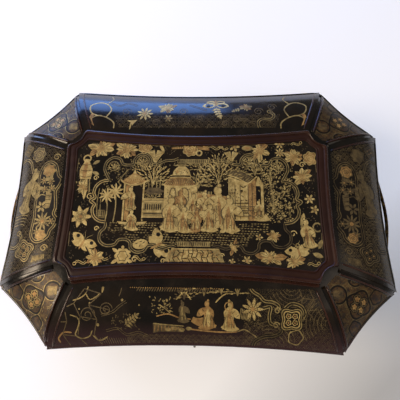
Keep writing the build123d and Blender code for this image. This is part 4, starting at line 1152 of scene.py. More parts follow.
# Hanging lantern at the left, with tassels
tablet.area([(-108, 21), (-109, 30), (-106, 37), (-105, 41)],
            [(-98, 21), (-97, 30), (-100, 37), (-101, 41)])
tablet.area([(-106, 22), (-106, 30), (-104, 38)], [(-103, 22), (-102, 30), (-102, 38)], RED, 1)
for y in (24, 30, 36):
    tablet.line([(-108.5, y), (-103, y - 1.2), (-97.5, y)], 0.5, BLACK, 2)
tablet.loop(-103, 41.5, 4.0, 1.4, BRIGHT, 1)
tablet.hatch([(-107, 21), (-99, 21)], [(-108, 8), (-98, 8)], 5, 1.1)
tablet.leaf(-102, 12, 11, 3.0, -92)
for x, y, turn in ((-97, 36, 30), (-97, 28, -20), (-110, 36, 150), (-110, 18, 200)):
    tablet.leaf(x, y, 7, 3.4, turn, LINE)

# Butterflies, a turtle flower, a figure with a banner
for x, y, turn, size in ((-99, -39, 62, 13), (-32, -40, 28, 15), (91, -45, 105, 12)):
    butterfly(tablet.at(x, y, turn), size)
tablet.line([(-96, -42), (-93, -47), (-91, -50)], 1.0, BLACK, 3)
tablet.disc(-62.5, -50, 6.6, BRIGHT, 1, lobes=6, depth=0.10)
tablet.loop(-62.5, -50, 4.4, 0.5, BLACK, 2, lobes=6, depth=0.12)
tablet.line([(-62.5, -44), (-63, -41)], 2.6, BRIGHT, 1)
for turn in (35, 145, 215, 325):
    tablet.leaf(-62.5 + 5 * cos(radians(turn)), -50 + 5 * sin(radians(turn)), 6.5, 3.0, turn)
figure(tablet.at(101, -41, 6, lift=1), 27, BRIGHT, RED, 0.9, 11)
tablet.line([(95.5, -12), (95, -22), (97, -38)], 2.2)
tablet.leaf(96, -20, 10, 3.4, 82, BRIGHT, 1)
tablet.loop(108.5, -23, 4.4, 1.3)
tablet.leaf(103, -46, 9, 4.5, -20, LINE)
tablet.leaf(108, -42, 9, 4.0, 65, LINE)

# Plaque in front of the cartouche, with cracked ice
tablet.area([(-20, -43.5), (-27, -55.5)], [(22, -43.5), (27, -55.5)], LINE)
tablet.area([(-11, -45), (-14, -54)], [(13, -45), (17, -54)], BRIGHT, 1)
tablet.sprinkle((-22, -55), (22, -44), 120, (0.3, 0.7), RED, 2)
lattice(tablet.at(0, 0, lift=2), [(-23, -54.6), (23, -54.6), (19, -44.6), (-17, -44.6)], 4.2,
        4, 0.7, BLACK)
tablet.line([(-20, -43.3), (0, -43.3), (22, -43.3)], 1.0, BRIGHT, 2)
print("strokes of the border", len(tablet.parts))

# %% The scene's left: palms, canes, a small pavilion with two people, a tree and a rail
for x, y, high in ((-81, -21, 26), (-73.5, -20, 29)):
    palm(tablet.at(x, y), high)
for x in (-89, -86):
    tablet.line([(x, -15), (x - 0.6, 0), (x + 0.4, 12)], 0.6)
tablet.hatch([(-89, -16), (-82, -16)], [(-89, -9), (-82, -9)], 5)
tablet.hatch([(-89, -16), (-89, -9)], [(-82, -16), (-82, -9)], 5)
tablet.line([(-72, 18), (-68, 24), (-63, 31)])
tablet.area([(-68, 19), (-57, 15.5), (-45, 19)], [(-60, 25.5), (-57, 27.5), (-53, 25.5)], RED)
tablet.hatch([(-66, 18.5), (-47, 18.5)], [(-59, 25.5), (-54, 25.5)], 9, 0.5, BRIGHT, 1)
tablet.line([(-69.5, 20.5), (-65, 17), (-57, 15.3), (-49, 17), (-43.5, 20.5)], 1.3, BRIGHT, 1)
tablet.area([(-58.5, 26.5), (-57, 30)], [(-55, 26.5), (-56, 30)], BRIGHT, 1)
tablet.disc(-56.5, 31.5, 1.0)
for x in (-65.3, -47.5):
    tablet.line([(x, 18), (x, 0), (x, -19)], 1.5, BRIGHT, 1)
tablet.area([(-64, -18), (-64, 0), (-64, 15)], [(-60, -18), (-60, 0), (-60, 15)], RED)
tablet.area([(-70, -19), (-57, -20), (-43, -19)], [(-68, -21.5), (-57, -22.5), (-45, -21.5)])
figure(tablet.at(-58, -9, lift=2), 24, BRIGHT, RED, 0.8, 12)
figure(tablet.at(-57, -27, lift=6), 20, BRIGHT, RED, 1.2, 13)
fan_tree(tablet.at(-50, 31), 9, 4, 0, 180, 2.0)
fan_tree(tablet.at(-39, 20), 17, 7, -8, 188, 2.9, BRIGHT)
for x in (-43, -40, -36, -33):
    tablet.line([(x, 4), (x + 0.4, 12), (-39 + 1.3 * (x + 38), 24)], 0.9)
tablet.disc(-38, 9.5, 8.5, FAINT, lobes=6, depth=0.12, squash=0.42)
tablet.scatter((-46, 3), (-31, 7), 26, 2.0, 1.1, (0, 180), LINE, 1)
tablet.area([(-48, -15.5), (-48, 2)], [(-28, -15.5), (-28, 2)], LINE)
for y in (2.0, -0.6, -9.6, -15.0):
    tablet.line([(-48, y), (-38, y), (-28, y)], 1.1, BRIGHT, 1)
tablet.hatch([(-45, -8.3), (-31, -8.3)], [(-45, -2.6), (-31, -2.6)], 8, 0.9, BLACK, 1)
tablet.line([(-46.5, -11.8), (-29, -11.8)], 0.7, BLACK, 1)
tablet.line([(-48, -16.6), (-38, -16.8), (-28, -16.6)], 1.6, BLACK, 1)
print("strokes so far", len(tablet.parts))

# %% The scene's middle: a garden house with two roofs, arches, and a party at table
tablet.area([(-21.5, 25), (-20, 30), (-16, 34)], [(-4.5, 25), (-6, 30), (-9.5, 34)])
tablet.line([(-20, 34.7), (-13, 35.3), (-6.5, 34.7)], 1.2, LINE, 1)
tablet.disc(-17, 28.5, 1.6, RED, 1)
tablet.sprinkle((-19, 23), (-7, 30), 26, 0.5, FAINT, 1)
tablet.area([(-29, 15), (-27.5, 19), (-23.5, 22.5)], [(0.5, 15), (-1.5, 19), (-4.5, 22.5)],
            RED)
tablet.hatch([(-28, 15.5), (0, 15.5)], [(-22.5, 22), (-5.5, 22)], 15, 0.6, FAINT, 1)
tablet.line([(-30.5, 16.5), (-26, 14.6), (-14, 14.2), (-2, 14.6), (2.5, 16.5)], 1.3, BRIGHT, 2)
tablet.line([(-23.5, 22.8), (-14, 23.2), (-4, 22.8)], 1.0, BRIGHT, 2)
tablet.area([(-28.5, -17), (-28.5, 0), (-28.5, 14.5)], [(2, -17), (2, 0), (2, 14.5)])
tablet.area([(2, -17), (2, -5), (2, 8)], [(30, -17), (30, -5), (30, 5)], RED)
for x, wide in ((-20.5, 2.9), (-10, 4.0)):
    tablet.line([(x - wide, -4), (x - wide, 6), (x - wide + 1, 11), (x, 12.6),
                 (x + wide - 1, 11), (x + wide, 6), (x + wide, -4)], 0.8, FAINT, 1)
tablet.sprinkle((-27, -15), (1, 13), 90, (0.3, 0.6), FAINT, 1)
tablet.sprinkle((3, -15), (29, 5), 60, (0.3, 0.6), FAINT, 1)
tablet.hatch([(3, 6.5), (15, 6.5)], [(3, 9.6), (15, 9.6)], 9, 0.6, BRIGHT, 1)
tablet.area([(3.5, -3.5), (3.5, 1.8)], [(13, -3.5), (13, 1.8)], FAINT, 1)
tablet.hatch([(3.5, -3.5), (13, -3.5)], [(3.5, 1.8), (13, 1.8)], 6, 0.5, BLACK, 2)
# The party: (x, y, height, width, seed, lift), those behind the table first
PARTY = [(-12, -13, 25, 0.9, 2, 2), (-1.5, -13, 22, 1.0, 3, 2), (8.5, -14, 25, 0.9, 4, 2),
         (-23.5, -28, 34, 0.9, 1, 9), (-10.5, -28.5, 25, 1.1, 5, 10),
         (1.5, -28, 21, 1.2, 6, 9), (12.5, -27.5, 27, 1.05, 7, 9),
         (20.5, -24, 41, 0.66, 8, 7), (30.5, -28, 34, 0.95, 9, 12)]
tablet.disc(-14, -19, 10.5, LINE, 6, lobes=7, depth=0.14, squash=0.62)
tablet.disc(20, -14, 11.5, LINE, 6, lobes=6, depth=0.16, squash=0.9)
for x, y, high, wide, seed, lift in PARTY:
    robe, trim = (RED, BRIGHT) if seed in (2, 6) else (BRIGHT, RED)
    figure(tablet.at(x, y, lift=lift), high, robe, trim, wide, seed, FAINT)
tablet.area([(-24, -15), (-24, -10.5)], [(12, -15), (12, -10.5)], BRIGHT, 7)
tablet.line([(-25, -10), (-6, -9.6), (13, -10)], 1.2, BRIGHT, 8)
tablet.line([(-24, -15.3), (-6, -15.3), (12, -15.3)], 0.6, BLACK, 8)
tablet.sprinkle((-23, -14.5), (11, -11), 34, 0.4, FAINT, 8)
for x in (-22, -8, 9):
    tablet.line([(x, -15), (x - 0.4, -19), (x, -23)], 1.4, BRIGHT, 7)
for x, y in ((8, -26.5), (15, -25.5), (25, -27.5), (33, -28.5)):
    tablet.disc(x, y, 2.4, BRIGHT, 16, squash=0.6)
print("strokes so far", len(tablet.parts))

# %% The scene's right: a hall with a gabled roof, a screen, a dark doorway and steps
tablet.area([(30, 25), (38, 23), (48, 18)], [(32, 30), (41, 29), (53, 23)], FAINT)
tablet.hatch([(31, 25.5), (48, 19)], [(33, 29.5), (53, 23)], 9, 0.5, LINE, 1)
tablet.line([(30, 25.3), (38, 23), (48, 17.8), (53, 21), (57, 24.5)], 1.2, BRIGHT, 2)
tablet.line([(32, 30.5), (42, 29.5), (54, 23.5)], 0.9, LINE, 2)
tablet.area([(30.5, -17.5), (30.5, 3), (30.5, 24)], [(48, -17.5), (48, 1), (48, 18)])
tablet.area([(48, -17.5), (48, 1), (48, 18)], [(55.5, -17.5), (55.5, 3), (55.5, 23)], RED)
tablet.area([(55.5, 15), (56, 19), (57.5, 24)], [(63, 15), (61, 19), (58.5, 24)])
tablet.area([(55.5, -16), (55.5, 0), (55.5, 14.5)], [(60, -16), (60, 0), (60, 14.5)], BLACK)
tablet.area([(60, -17.5), (60, 0), (60, 15)], [(62.3, -17.5), (62.3, 0), (62.3, 15)],
            BRIGHT, 1)
for x in (36.5, 41.2, 48.4, 52.0):
    tablet.line([(x, -16.5), (x, 0), (x, 16.5)], 0.7, FAINT, 1)
tablet.hatch([(31.5, 3), (35.5, 3)], [(31.5, 19), (35.5, 19)], 4, 0.55, LINE, 1)
tablet.line([(41.5, 15), (44, 13.5), (47.5, 15.5)], 0.6, BLACK, 2)
for k, y in enumerate((-1.5, -4.4, -5.9, -8.2, -10.6, -13.4)):
    tablet.line([(31.5, y), (40, y), (48.5 + (k % 2) * 6, y)], 0.7,
                FAINT if k % 2 else BLACK, 2)
tablet.disc(42.6, 10.2, 1.1, BLACK, 2)
tablet.sprinkle((32, -15), (54, 15), 90, 0.5, FAINT, 1)
figure(tablet.at(57.7, -15.5, lift=2), 18, BRIGHT, RED, 0.7, 14)
tablet.area([(53, -17.3), (60, -18.2), (68, -17)], [(55, -13.5), (61, -14), (63.5, -11)],
            BRIGHT, 1)
tablet.line([(31, -18.4), (50, -18.8), (70, -18.4)], 1.3, BLACK, 1)
print("strokes so far", len(tablet.parts))

# %% The scene's trees and ground
for x, y, *fan in ((21.5, 22, 20, 8, -5, 185, 3.1, BRIGHT), (22, 34, 12, 5, 10, 170, 2.6),
                   (3, 15, 12, 5, 0, 180, 2.6), (4, 31, 9, 4, 0, 180, 2.2),
                   (55, 27, 8, 4, 0, 180, 2.4)):
    fan_tree(tablet.at(x, y), *fan)
for x, y, wide, high, count in ((70, 31, 16, 18, 70), (62, 36, 20, 12, 60),
                                (77, 10, 20, 24, 120), (76, -10, 22, 18, 150),
                                (48, 38, 14, 10, 40), (66, 20, 8, 14, 40)):
    spots = rng.uniform(-0.5, 0.5, (count, 2)) * (wide, high) + (x, y)
    tablet.strokes(spots, rng.uniform(1.4, 2.6, count), 1.1, rng.uniform(0, 180, count))
    tablet.dots(spots[::4] + 0.6, 0.6, BRIGHT, 1)
tablet.line([(70, -8), (71, 4), (69, 16), (67, 26)], 1.3, LINE, 1)
tablet.line([(73, -4), (75, 4), (79, 9), (86, 10)], 1.1, LINE, 1)
tablet.line([(88, 18), (91, 8), (91.5, -2)], 0.8, FAINT, 1)

# Leaves in the sky between the trees
for low, high, count in (((-62, 14), (-28, 41), 190), ((0, 14), (34, 41), 230),
                         ((58, -12), (90, 36), 250), ((-28, 35), (2, 40), 50),
                         ((34, 28), (60, 40), 90), ((-86, 8), (-68, 34), 60)):
    tablet.scatter(low, high, count, (1.3, 2.3), 0.95, (20, 160))

# Ground: rows of broken strokes that narrow towards the front
ROWS, FIRST_ROW, ROW_PITCH = 10, -20.8, 2.05
for k in range(ROWS):
    y = FIRST_ROW - ROW_PITCH * k
    reach = 76 if k < 4 else 64 - 2 * (k - 4)
    x = np.arange(-reach, reach * 0.86, 2.7) + rng.uniform(-0.5, 0.5)
    x = x[rng.uniform(0, 1, len(x)) < 0.86]
    row = np.stack([x, y + 0.4 * np.sin(x / 7 + k)], axis=1)
    tablet.strokes(row, 2.5, 0.85, 0)
    tablet.strokes(row[::3] + (0, -1.0), 3.4, 0.6, 0, FAINT)
tablet.scatter((-84, -38), (-50, -24), 60, 2.0, 0.6, (-15, 15), FAINT)
for x, y in ((-70, 30), (-62, 27)):
    tablet.scatter((x - 6, y - 7), (x + 6, y + 5), 30, 1.9, 0.8, 60, FAINT)

# %% The tablet's sheet is laid
# The board's outline: its eight corners, anticlockwise from the front left
MOULDING_BAND, BOARD_ROOM = 9.0, 0.5     # from the crest in to the board, and past it, mm
BOARD = drawn_in(CREST, MOULDING_BAND)[0]
UP, RIGHT, BACK = (0, 0, 1), (1, 0, 0), (0, 1, 0)
ABOVE_LID = (0, 0, 160)
edges = [(BOARD[k], BOARD[(k + 1) % 8], BOARD_ROOM) for k in range(8)]
gild(sheet, "tablet_picture", "lid", "tablet_board", ABOVE_LID, RIGHT, BACK, edges)
print("tablet picture faces", laid[-1][1])

# %% [markdown]
# **The eight panels of the dome** slope away from the tablet. The front and back ones
# carry garden scenes between cloud scrolls, with cracked ice at their ends; the side ones
# hold a flower cartouche beside a tall robed figure; and the corners have dark quatrefoils
# and rings on a ground of brown wash and ripples. Each panel's outline comes from the
# corners of the tablet's foot and of the rim, less room for the flutes on its mitres and
# the bead on the rim.
# %% Outlines of the panels
SIDES = ("front", "corner_front_right", "right", "corner_back_right", "back",
         "corner_back_left", "left", "corner_front_left")
MITRE_ROOM, RIM_ROOM, FOOT_ROOM = 6.0, 3.6, 0.6      # mm


def panel_edges(k):
    """The four edges of panel k, anticlockwise, with the room to keep from each."""
    n = (k + 1) % 8
    return [(RIM[k], RIM[n], RIM_ROOM), (RIM[n], FOOT[n], MITRE_ROOM),
            (FOOT[n], FOOT[k], FOOT_ROOM), (FOOT[k], RIM[k], MITRE_ROOM)]


def gild_panel(sheet, k):
    gild(sheet, f"picture_{SIDES[k]}", "lid", f"lid_panel_{SIDES[k]}", ABOVE_LID, RIGHT,
         BACK, panel_edges(k))
    print("picture", SIDES[k], "faces", laid[-1][1])


def cloud(g, points, gap=2.0, width=0.75, finish=LINE):
    """A cloud scroll: a banded double line that ends in a small spiral."""
    g.banded(points, gap, width, finish)
    scroll(g.at(*points[-1], lift=2), 3.0, 1.3, 0.8, finish)


def rosette(g, radius, finish=LINE, inner=BRIGHT):
    """A quatrefoil on a black disc of its own, so that it stands out from its ground."""
    g.disc(0, 0, 1.10 * radius, BLACK, 1, lobes=4, depth=0.15)
    quatrefoil(g.at(0, 0, lift=2), radius, finish, inner)


# %% Front panel: people seated among trees
front = Gilding()
ripples(front, [(-62, -129), (60, -129), (56, -115), (-56, -115)], 4.6, FAINT, 0.5)
lattice(front, [(-127, -128), (-84, -128), (-76, -77), (-112, -77)], 13, 5, 0.8, FAINT)
for width, finish, *points in (
        (1.0, LINE, (-92, -75), (-94, -82), (-99, -86), (-105, -88)),
        (0.9, LINE, (-94, -82), (-90, -87), (-84, -84), (-82, -82)),
        (1.0, LINE, (-107, -100), (-101, -102), (-99, -106), (-101, -112), (-103, -117),
         (-98, -120), (-91, -118), (-88, -113)),
        (1.3, RED, (-117, -124), (-118, -120), (-113, -115), (-106, -115)),
        (1.0, LINE, (-88, -117), (-84, -121), (-80, -121), (-75, -118))):
    front.line(points, width, finish)
front.leaf(-79, -73.5, 8, 2.0, -95, LINE)
front.line([(-65, -72), (-63, -78), (-65, -84)], 0.8, FAINT)
for x, y, r in ((-62, -87, 1.2), (-83, -108, 1.4), (-90, -90, 0.9), (-23, -87, 1.0),
                (-47, -91, 0.8), (-55, -99, 0.8), (-38, -84, 0.7), (-99, -95, 0.8)):
    front.disc(x, y, r, LINE)
for x, y, radius, turns in ((-76, -95, 6, 1.8), (-92, -100, 7, 1.6)):
    scroll(front.at(x, y), radius, turns, 0.7, FAINT)
for points in ([(-80, -100), (-70, -97), (-64, -92), (-58, -88)],
               [(-76, -113), (-66, -111), (-58, -116), (-48, -114), (-40, -117)]):
    front.double(points, 1.7, 0.5, FAINT)
front.hatch([(-82, -119), (-58, -119)], [(-80, -125), (-56, -125)], 13, 0.5, FAINT)
sprig(front.at(-60, -108, 30), 14, 5, 2.0, LINE)
front.scatter((-72, -112), (-46, -98), 46, 2.2, 0.9, (0, 180), FAINT)
for x0, x1, y, deep, count, finish in ((-54, 27, -73.5, 3.4, 44, RED),
                                       (-48, 24, -76.5, 3.0, 34, FAINT)):
    front.hatch([(x0, y), (x1, y)], [(x0 - 1.5, y - deep), (x1 - 1.5, y - deep)], count, 0.9,
                finish)
for x, y, reach, mark in ((-8, -84, 8, 2.6), (9, -80, 11, 3.2), (24, -79, 9, 2.8),
                          (38, -80, 9, 2.8), (-3, -77, 7, 2.4)):
    fan_tree(front.at(x, y), reach, 4, 0, 180, mark, LINE if x > 0 else FAINT)
front.line([(-15, -86), (-8, -80), (-2, -86)], 1.2)
front.line([(19, -88), (24, -83), (29, -80)], 1.0, BRIGHT)
# Two seated figures, bright, with bare heads, and a third, faint, at their side
figure(front.at(-9, -105, 4), 19, FAINT, LINE, 1.0, 31)
figure(front.at(13, -110, lift=1), 25, RED, BRIGHT, 1.15, 32)
front.area([(-2, -104), (3, -107), (11, -110)], [(0, -100), (4, -101), (11, -100)], RED, 1)
figure(front.at(31, -111, 2, lift=1), 26, BRIGHT, RED, 1.1, 33)
front.loop(30.4, -91, 3.9, 0.9, RED, 5)
front.line([(-6, -110), (8, -111.5), (24, -112.5), (38, -112)], 1.2, RED)
front.line([(-30, -90), (-24, -94), (-20, -97)], 1.0)
front.scatter((-36, -98), (-18, -84), 46, 2.2, 0.9, (0, 180))
front.line([(-32, -100), (-22, -98), (-12, -101), (-2, -102)], 1.1, RED)
front.area([(-35, -106), (-28, -107), (-10, -109)], [(-35, -114), (-26, -113), (-8, -113)],
           FAINT)
front.line([(-35, -106), (-24, -107), (-8, -108)], 0.9, LINE, 1)
front.hatch([(-33, -107), (-10, -109)], [(-34, -113), (-9, -112)], 9, 0.6, RED, 1)
for k in range(4):
    front.disc(-22 + 6 * k, -111 + (k % 2), 2.6, LINE, 1, squash=0.6)
front.line([(38, -112), (44, -110), (50, -113), (57, -118)], 0.9)
blossom(front.at(51, -93), 9.5, 9)
front.hatch([(41, -92), (50, -96)], [(40, -101), (48, -103)], 8, 0.7)
front.scatter((44, -112), (60, -98), 36, 2.2, 0.9, (0, 180), FAINT)
# Clouds, a rosette and fans of fine lines at the right
for k in range(7):
    for x, y, *sweep in ((84, -74, 200, 330, 9), (66, -126, 20, 120, 8),
                         (116, -104, 100, 220, 8)):
        fan = (4 + 3.2 * k) * circle(np.radians(np.linspace(*sweep)))
        front.line((x, y) + fan, 0.6, FAINT)
for finish, *points in (
        (LINE, (48, -72), (51, -78), (57, -82), (61, -86), (68, -87), (73, -90), (72, -94)),
        (LINE, (60, -92), (66, -91), (65, -98), (66, -104), (71, -106)),
        (FAINT, (52, -126), (54, -120), (61, -116), (69, -115), (75, -112), (75, -108)),
        (LINE, (78, -92), (84, -88), (92, -90), (95, -96), (92, -101))):
    cloud(front, points, finish=finish)
front.loop(88, -116, 6.6, 0.9, LINE, 3, lobes=5, depth=0.06)
rosette(front.at(84, -101, 45, lift=2), 9.5)
lattice(front, [(92, -100), (116, -100), (108, -76), (90, -76)], 9, 8, 0.7, FAINT)
ripples(front, [(42, -127), (128, -127), (112, -76), (46, -76)], 7.0, FAINT, 0.45)
gild_panel(front, 0)

# %% Back panel: thin scrolls, a star flower and plumes
back = Gilding()
for corners in ([(-78, 78), (-20, 78), (-20, 92), (-84, 92)],
                [(-20, 78), (78, 78), (84, 94), (-20, 94)]):
    ripples(back, corners, 6.4, FAINT, 0.6)
for side in (1, -1):
    g = back.at(0, 0, flip=side < 0)
    g.line([(83, 77), (84, 84), (92, 90), (101, 92), (108, 88)], 1.3)
    g.line([(92, 90), (88, 100), (94, 108), (102, 110), (110, 105), (108, 96), (101, 92)],
           1.3, BRIGHT if side < 0 else LINE)
    g.line([(94, 108), (89, 116), (92, 122)], 1.2)
    g.area([(104, 94), (106, 88), (103, 80)], [(108, 94), (109, 88), (106, 82)], RED)
back.area([(-70, 86), (-66, 84)], [(-60, 87), (-65, 80)])
back.line([(-66, 84), (-66.5, 80), (-67, 76)], 1.2, BRIGHT)
blossom(back.at(-53, 95), 8.5, 9)
posy(back.at(-31, 103, 10), 11, 7, 41, 11)
blossom(back.at(-29, 89), 4.8, 6, LINE)
for x, y, r in ((-72, 97, 5), (-41, 84, 4), (-14, 98, 4.5), (3, 90, 4), (40, 88, 4.5),
                (62, 98, 5), (-10, 84, 3.4), (28, 83, 3.6), (76, 104, 5)):
    scroll(back.at(x, y), r, 1.6, 0.7, FAINT)
for points in ([(-90, 110), (-80, 106), (-72, 110), (-62, 106)],
               [(-8, 108), (2, 103), (10, 100)], [(38, 84), (46, 88), (56, 84), (64, 87)]):
    back.double(points, 1.8, 0.55, FAINT)
butterfly(back.at(19, 110, -90), 14)
sprig(back.at(19, 104, -80), 14, 4, 2.6)
posy(back.at(50, 104, 160), 8, 5, 42, 9, LINE)
sprig(back.at(44, 101, 190), 8, 3, 2.2, LINE)
cloud(back, [(62, 78), (61, 84), (65, 88), (74, 88), (77, 93), (73, 97)], 2.0, 0.7)
for k in range(9):
    back.line([(-50 + 12 * k, 77), (-48 + 12 * k, 80 + (k % 3)), (-45 + 12 * k, 78)], 0.6,
              FAINT)
gild_panel(back, 4)

# %% Side panels: a flower cartouche and a robed figure, mirrored left and right
SIDE_FIELD = [(-181, -70), (-129, -56), (-129, 56), (-181, 70)]
CARTOUCHE = [(-151, 32), (-148, 38), (-142, 41), (-136, 38), (-133.5, 32), (-132, 27),
             (-128.5, 23), (-130, 17), (-133, 11), (-132, 4), (-131, -5), (-132, -11),
             (-128.5, -16), (-130, -22), (-133.5, -27), (-135, -32), (-140, -36),
             (-146, -37), (-151, -33), (-152, -26), (-151, -14), (-152, 0), (-151, 14),
             (-152, 26), (-151, 32)]


def side_panel(g, bright, thin):
    """Drawn for the left side; thin is the finish of the lines that have faded. Given faint
    gold for both finishes, as on the right, it is partly worn gold and partly a painted shade
    where less light falls.
    """
    ripples(g.at(0, 0, lift=1), SIDE_FIELD, 5.6, FAINT, 0.6)
    g.area(CARTOUCHE[2::-1] + CARTOUCHE[-2:17:-1], CARTOUCHE[2:18], BLACK, 2)
    g.banded(CARTOUCHE, 2.0, 0.75, thin, 2)
    peony(g.at(-142, 32, lift=3), 6.4, bright)
    for k, (x, y) in enumerate(((-146, 22), (-139, 21), (-144, 13), (-137, 14), (-146, -28))):
        g.at(x, y, 70 * k, lift=3).leaf(0, 0, 7.5, 3.4, 20, bright)
        blossom(g.at(x, y, lift=3), 4.2, 7, bright)
    g.area([(-142, 10), (-142, 3), (-141, -6)], [(-136, 9), (-136, 3), (-137, -5)], bright, 3)
    for y in (7, 3, -1):
        g.line([(-142, y), (-136.5, y - 0.5)], 0.5, BLACK, 4)
    g.line([(-142, 7), (-147, 8), (-150, 5)], 0.9, bright, 3)
    blossom(g.at(-142, -18, lift=3), 9.0, 11, bright)
    blossom(g.at(-133.5, -18, lift=3), 3.6, 6, bright)
    peony(g.at(-142, -31, lift=3), 5.2, bright)
    for turn in range(0, 360, 60):
        g.at(-145, -4, turn, lift=3).leaf(1, 0, 5, 2.6, 0, thin)
    # A tall robed figure on a strip of ground
    figure(g.at(-167, -9, -13, lift=3), 46, bright, thin, 0.62, 21)
    for y in (-12, -15, -18, -21):
        g.line([(-177, y), (-166, y + 1.2), (-156 + y / 4, y)], 0.6, thin, 2)
    cloud(g, [(-178, 46), (-171, 47), (-165, 43), (-162, 36), (-159, 30), (-155, 30)],
          2.0, 0.8, thin)
    cloud(g, [(-177, -41), (-170, -42), (-164, -38), (-163, -32), (-167, -29)], 2.0, 0.8, thin)
    g.disc(-156, 50, 8.2, BLACK, 1, lobes=6, depth=0.1)
    peony(g.at(-156, 50, lift=2), 7.4, thin, FAINT)
    rosette(g.at(-157, -45, 20, lift=1), 9.4, bright, bright)
    rosette(g.at(-171, 57, 10, lift=1), 6.0, thin, thin)
    scroll(g.at(-136, 46, lift=2), 3.6, 1.4, 0.9, bright)
    scroll(g.at(-137, -43, lift=2), 3.6, 1.4, 0.9, thin)
    g.hatch([(-146, -50), (-136, -48)], [(-147, -56), (-136, -53)], 9, 0.9, bright, 2)


left = Gilding()
side_panel(left, LINE, LINE)
gild_panel(left, 6)

# The right side in faint gold: partly worn gold, partly a painted shade on the side that less
# light reaches
right = Gilding()
side_panel(right.at(0, 0, flip=True), FAINT, FAINT)
gild_panel(right, 2)

# %% Corner panels: rosettes, rings and cracked ice on ripples
def ring(g, radius, thin, lobes=0, bars=0):
    """A dark ring round faint gold, with a thin line of gold outside it."""
    depth = 0.08 if lobes else 0
    g.loop(0, 0, radius, 0.6, thin, 2, lobes, depth)
    for share, finish, layer in ((0.92, BLACK, 3), (0.74, WASH, 4)):
        g.disc(0, 0, share * radius, finish, layer, lobes, depth)
    if bars:
        x = 0.45 * radius
        g.hatch([(-x, -x), (x, -x)], [(-x, x), (x, x)], bars, 0.6, thin, 5)


def corner_panel(g, bright, thin, seed):
    """Drawn for the front left corner: dark rings on a brown and red wash."""
    field = [(-182, -78), (-132, -129), (-106, -74), (-124, -56)]
    g.area([field[0], field[3]], [field[1], field[2]], WASH)
    ripples(g.at(0, 0, lift=1), field, 6.0, FAINT, 0.5)
    flower = g.at(-144, -88, 22, lift=2)
    flower.loop(0, 0, 12.6, 0.7, thin, lobes=4, depth=0.10)
    for radius, finish, layer in ((12.0, BLACK, 1), (10.4, WASH, 2)):
        flower.disc(0, 0, radius, finish, layer, lobes=4, depth=0.10)
    for turn in range(45, 405, 90):
        x, y = 5.0 * cos(radians(turn)), 5.0 * sin(radians(turn))
        flower.disc(x, y, 4.6, BLACK, 3)
        flower.loop(x, y, 3.8, 0.7, bright, 4)
        flower.disc(x, y, 2.2, RED, 4, lobes=5, depth=0.2)
    flower.scatter(-8, 8, 60, 1.4, 0.5, (0, 180), bright, 5)
    ring(g.at(-124.5, -80), 8.8, bright, bars=9)
    ring(g.at(-140, -66.5), 7.4, thin, bars=6)
    ring(g.at(-161, -81.5), 7.4, thin, 5)
    ring(g.at(-141, -108), 7.4, thin, 5)
    blossom(g.at(-140, -66.5, lift=5), 3.4, 7, thin)
    for points in ([(-119, -98), (-123, -103), (-127, -110), (-131, -117)],
                   [(-152, -72), (-158, -71), (-166, -75), (-171, -79)]):
        cloud(g.at(0, 0, lift=1), points, 1.8, 0.6, thin)
    scroll(g.at(-130, -62, lift=2), 3.6, 1.3, 0.9, bright)
    lattice(g.at(0, 0, lift=1), [(-180, -79), (-152, -108), (-152, -98), (-168, -84)], 8, seed,
            0.6, thin)
    g.scatter((-136, -120), (-112, -90), 70, 2.0, 0.6, (0, 180), bright, 2)


# The right corners take faint gold and the left ones thin gold: partly wear, partly a painted
# shade on the side that less light reaches
for k, mirror_x, mirror_y, bright, thin in ((7, 1, 1, LINE, LINE), (1, -1, 1, FAINT, FAINT),
                                            (3, -1, -1, FAINT, FAINT), (5, 1, -1, LINE, LINE)):
    sheet = Gilding()
    g = sheet.at(0, 0)
    g.axes = np.diag([mirror_x, mirror_y]).astype(float)
    corner_panel(g, bright, thin, 20 + k)
    gild_panel(sheet, k)

# %% [markdown]
# ** The case** repeats the lid's ornament in a plainer way: each of its eight walls and the drawer get a double border, and inside it a vine whose stem waves like a sine, with a peony or a flower in each bend. The lid's frame gets two lines with a row of leaves between them.
# %% The case walls, the drawer and the lid's frame
def bordered(g, half, low, high, gap=2.2):
    """Two lines round a rectangle 2 half long, from low to high."""
    for margin, width, finish in ((0.0, 0.9, LINE), (gap, 0.6, FAINT)):
        x, y0, y1 = half - margin, low + margin, high - margin
        corners = np.array([(-x, y0), (x, y0), (x, y1), (-x, y1), (-x, y0)])
        for a, b in zip(corners, corners[1:]):
            g.line([a, (a + b) / 2, b], width, finish)


def vine(g, half, low, high, seed, keep_out=None):
    """A waving stem: y = middle + 0.2 height cos(pi x / pitch), with a flower in each
    bend and leaves between. keep_out is (x, y, radius) left bare."""
    middle, tall = (low + high) / 2, high - low
    pitch = 0.95 * tall
    count = max(1, int(round(2 * half / pitch)))
    pitch = 2 * half / count
    x = np.linspace(-half, half, count * 8 + 1)
    g.line(np.stack([x, middle + 0.2 * tall * np.sin(pi * x / pitch + pi / 2)], axis=1), 0.9)
    for k in range(count):
        spot = (-half + (k + 0.5) * pitch, middle + 0.08 * tall * (-1) ** k)
        if keep_out and hypot(spot[0] - keep_out[0], spot[1] - keep_out[1]) < keep_out[2]:
            continue
        size = 0.24 * tall
        if k % 2:
            posy(g.at(*spot, 35 * k, lift=1), size, 0.8 * size, seed + k, 9)
        else:
            peony(g.at(*spot, lift=1), 0.8 * size)
            blossom(g.at(spot[0], spot[1], 20), 1.15 * size, 9, LINE)
        for side in (1, -1):
            sprig(g.at(spot[0] + side * 0.42 * pitch, spot[1], 90 * side + 30), 0.26 * tall,
                  3, 0.07 * tall + 0.8, LINE)


def gild_side(sheet, name, body, target, k, away=20.0):
    """Lays a sheet on side k of the case, x along it and y up from the table."""
    a, b = CASE_RING[0][k], CASE_RING[0][(k + 1) % 8]
    along = (b - a) / np.linalg.norm(b - a)
    middle = (a + b) / 2 + np.array([along[1], -along[0]]) * away
    gild(sheet, name, body, target, (*middle, 0), (*along, 0), UP, far=away)


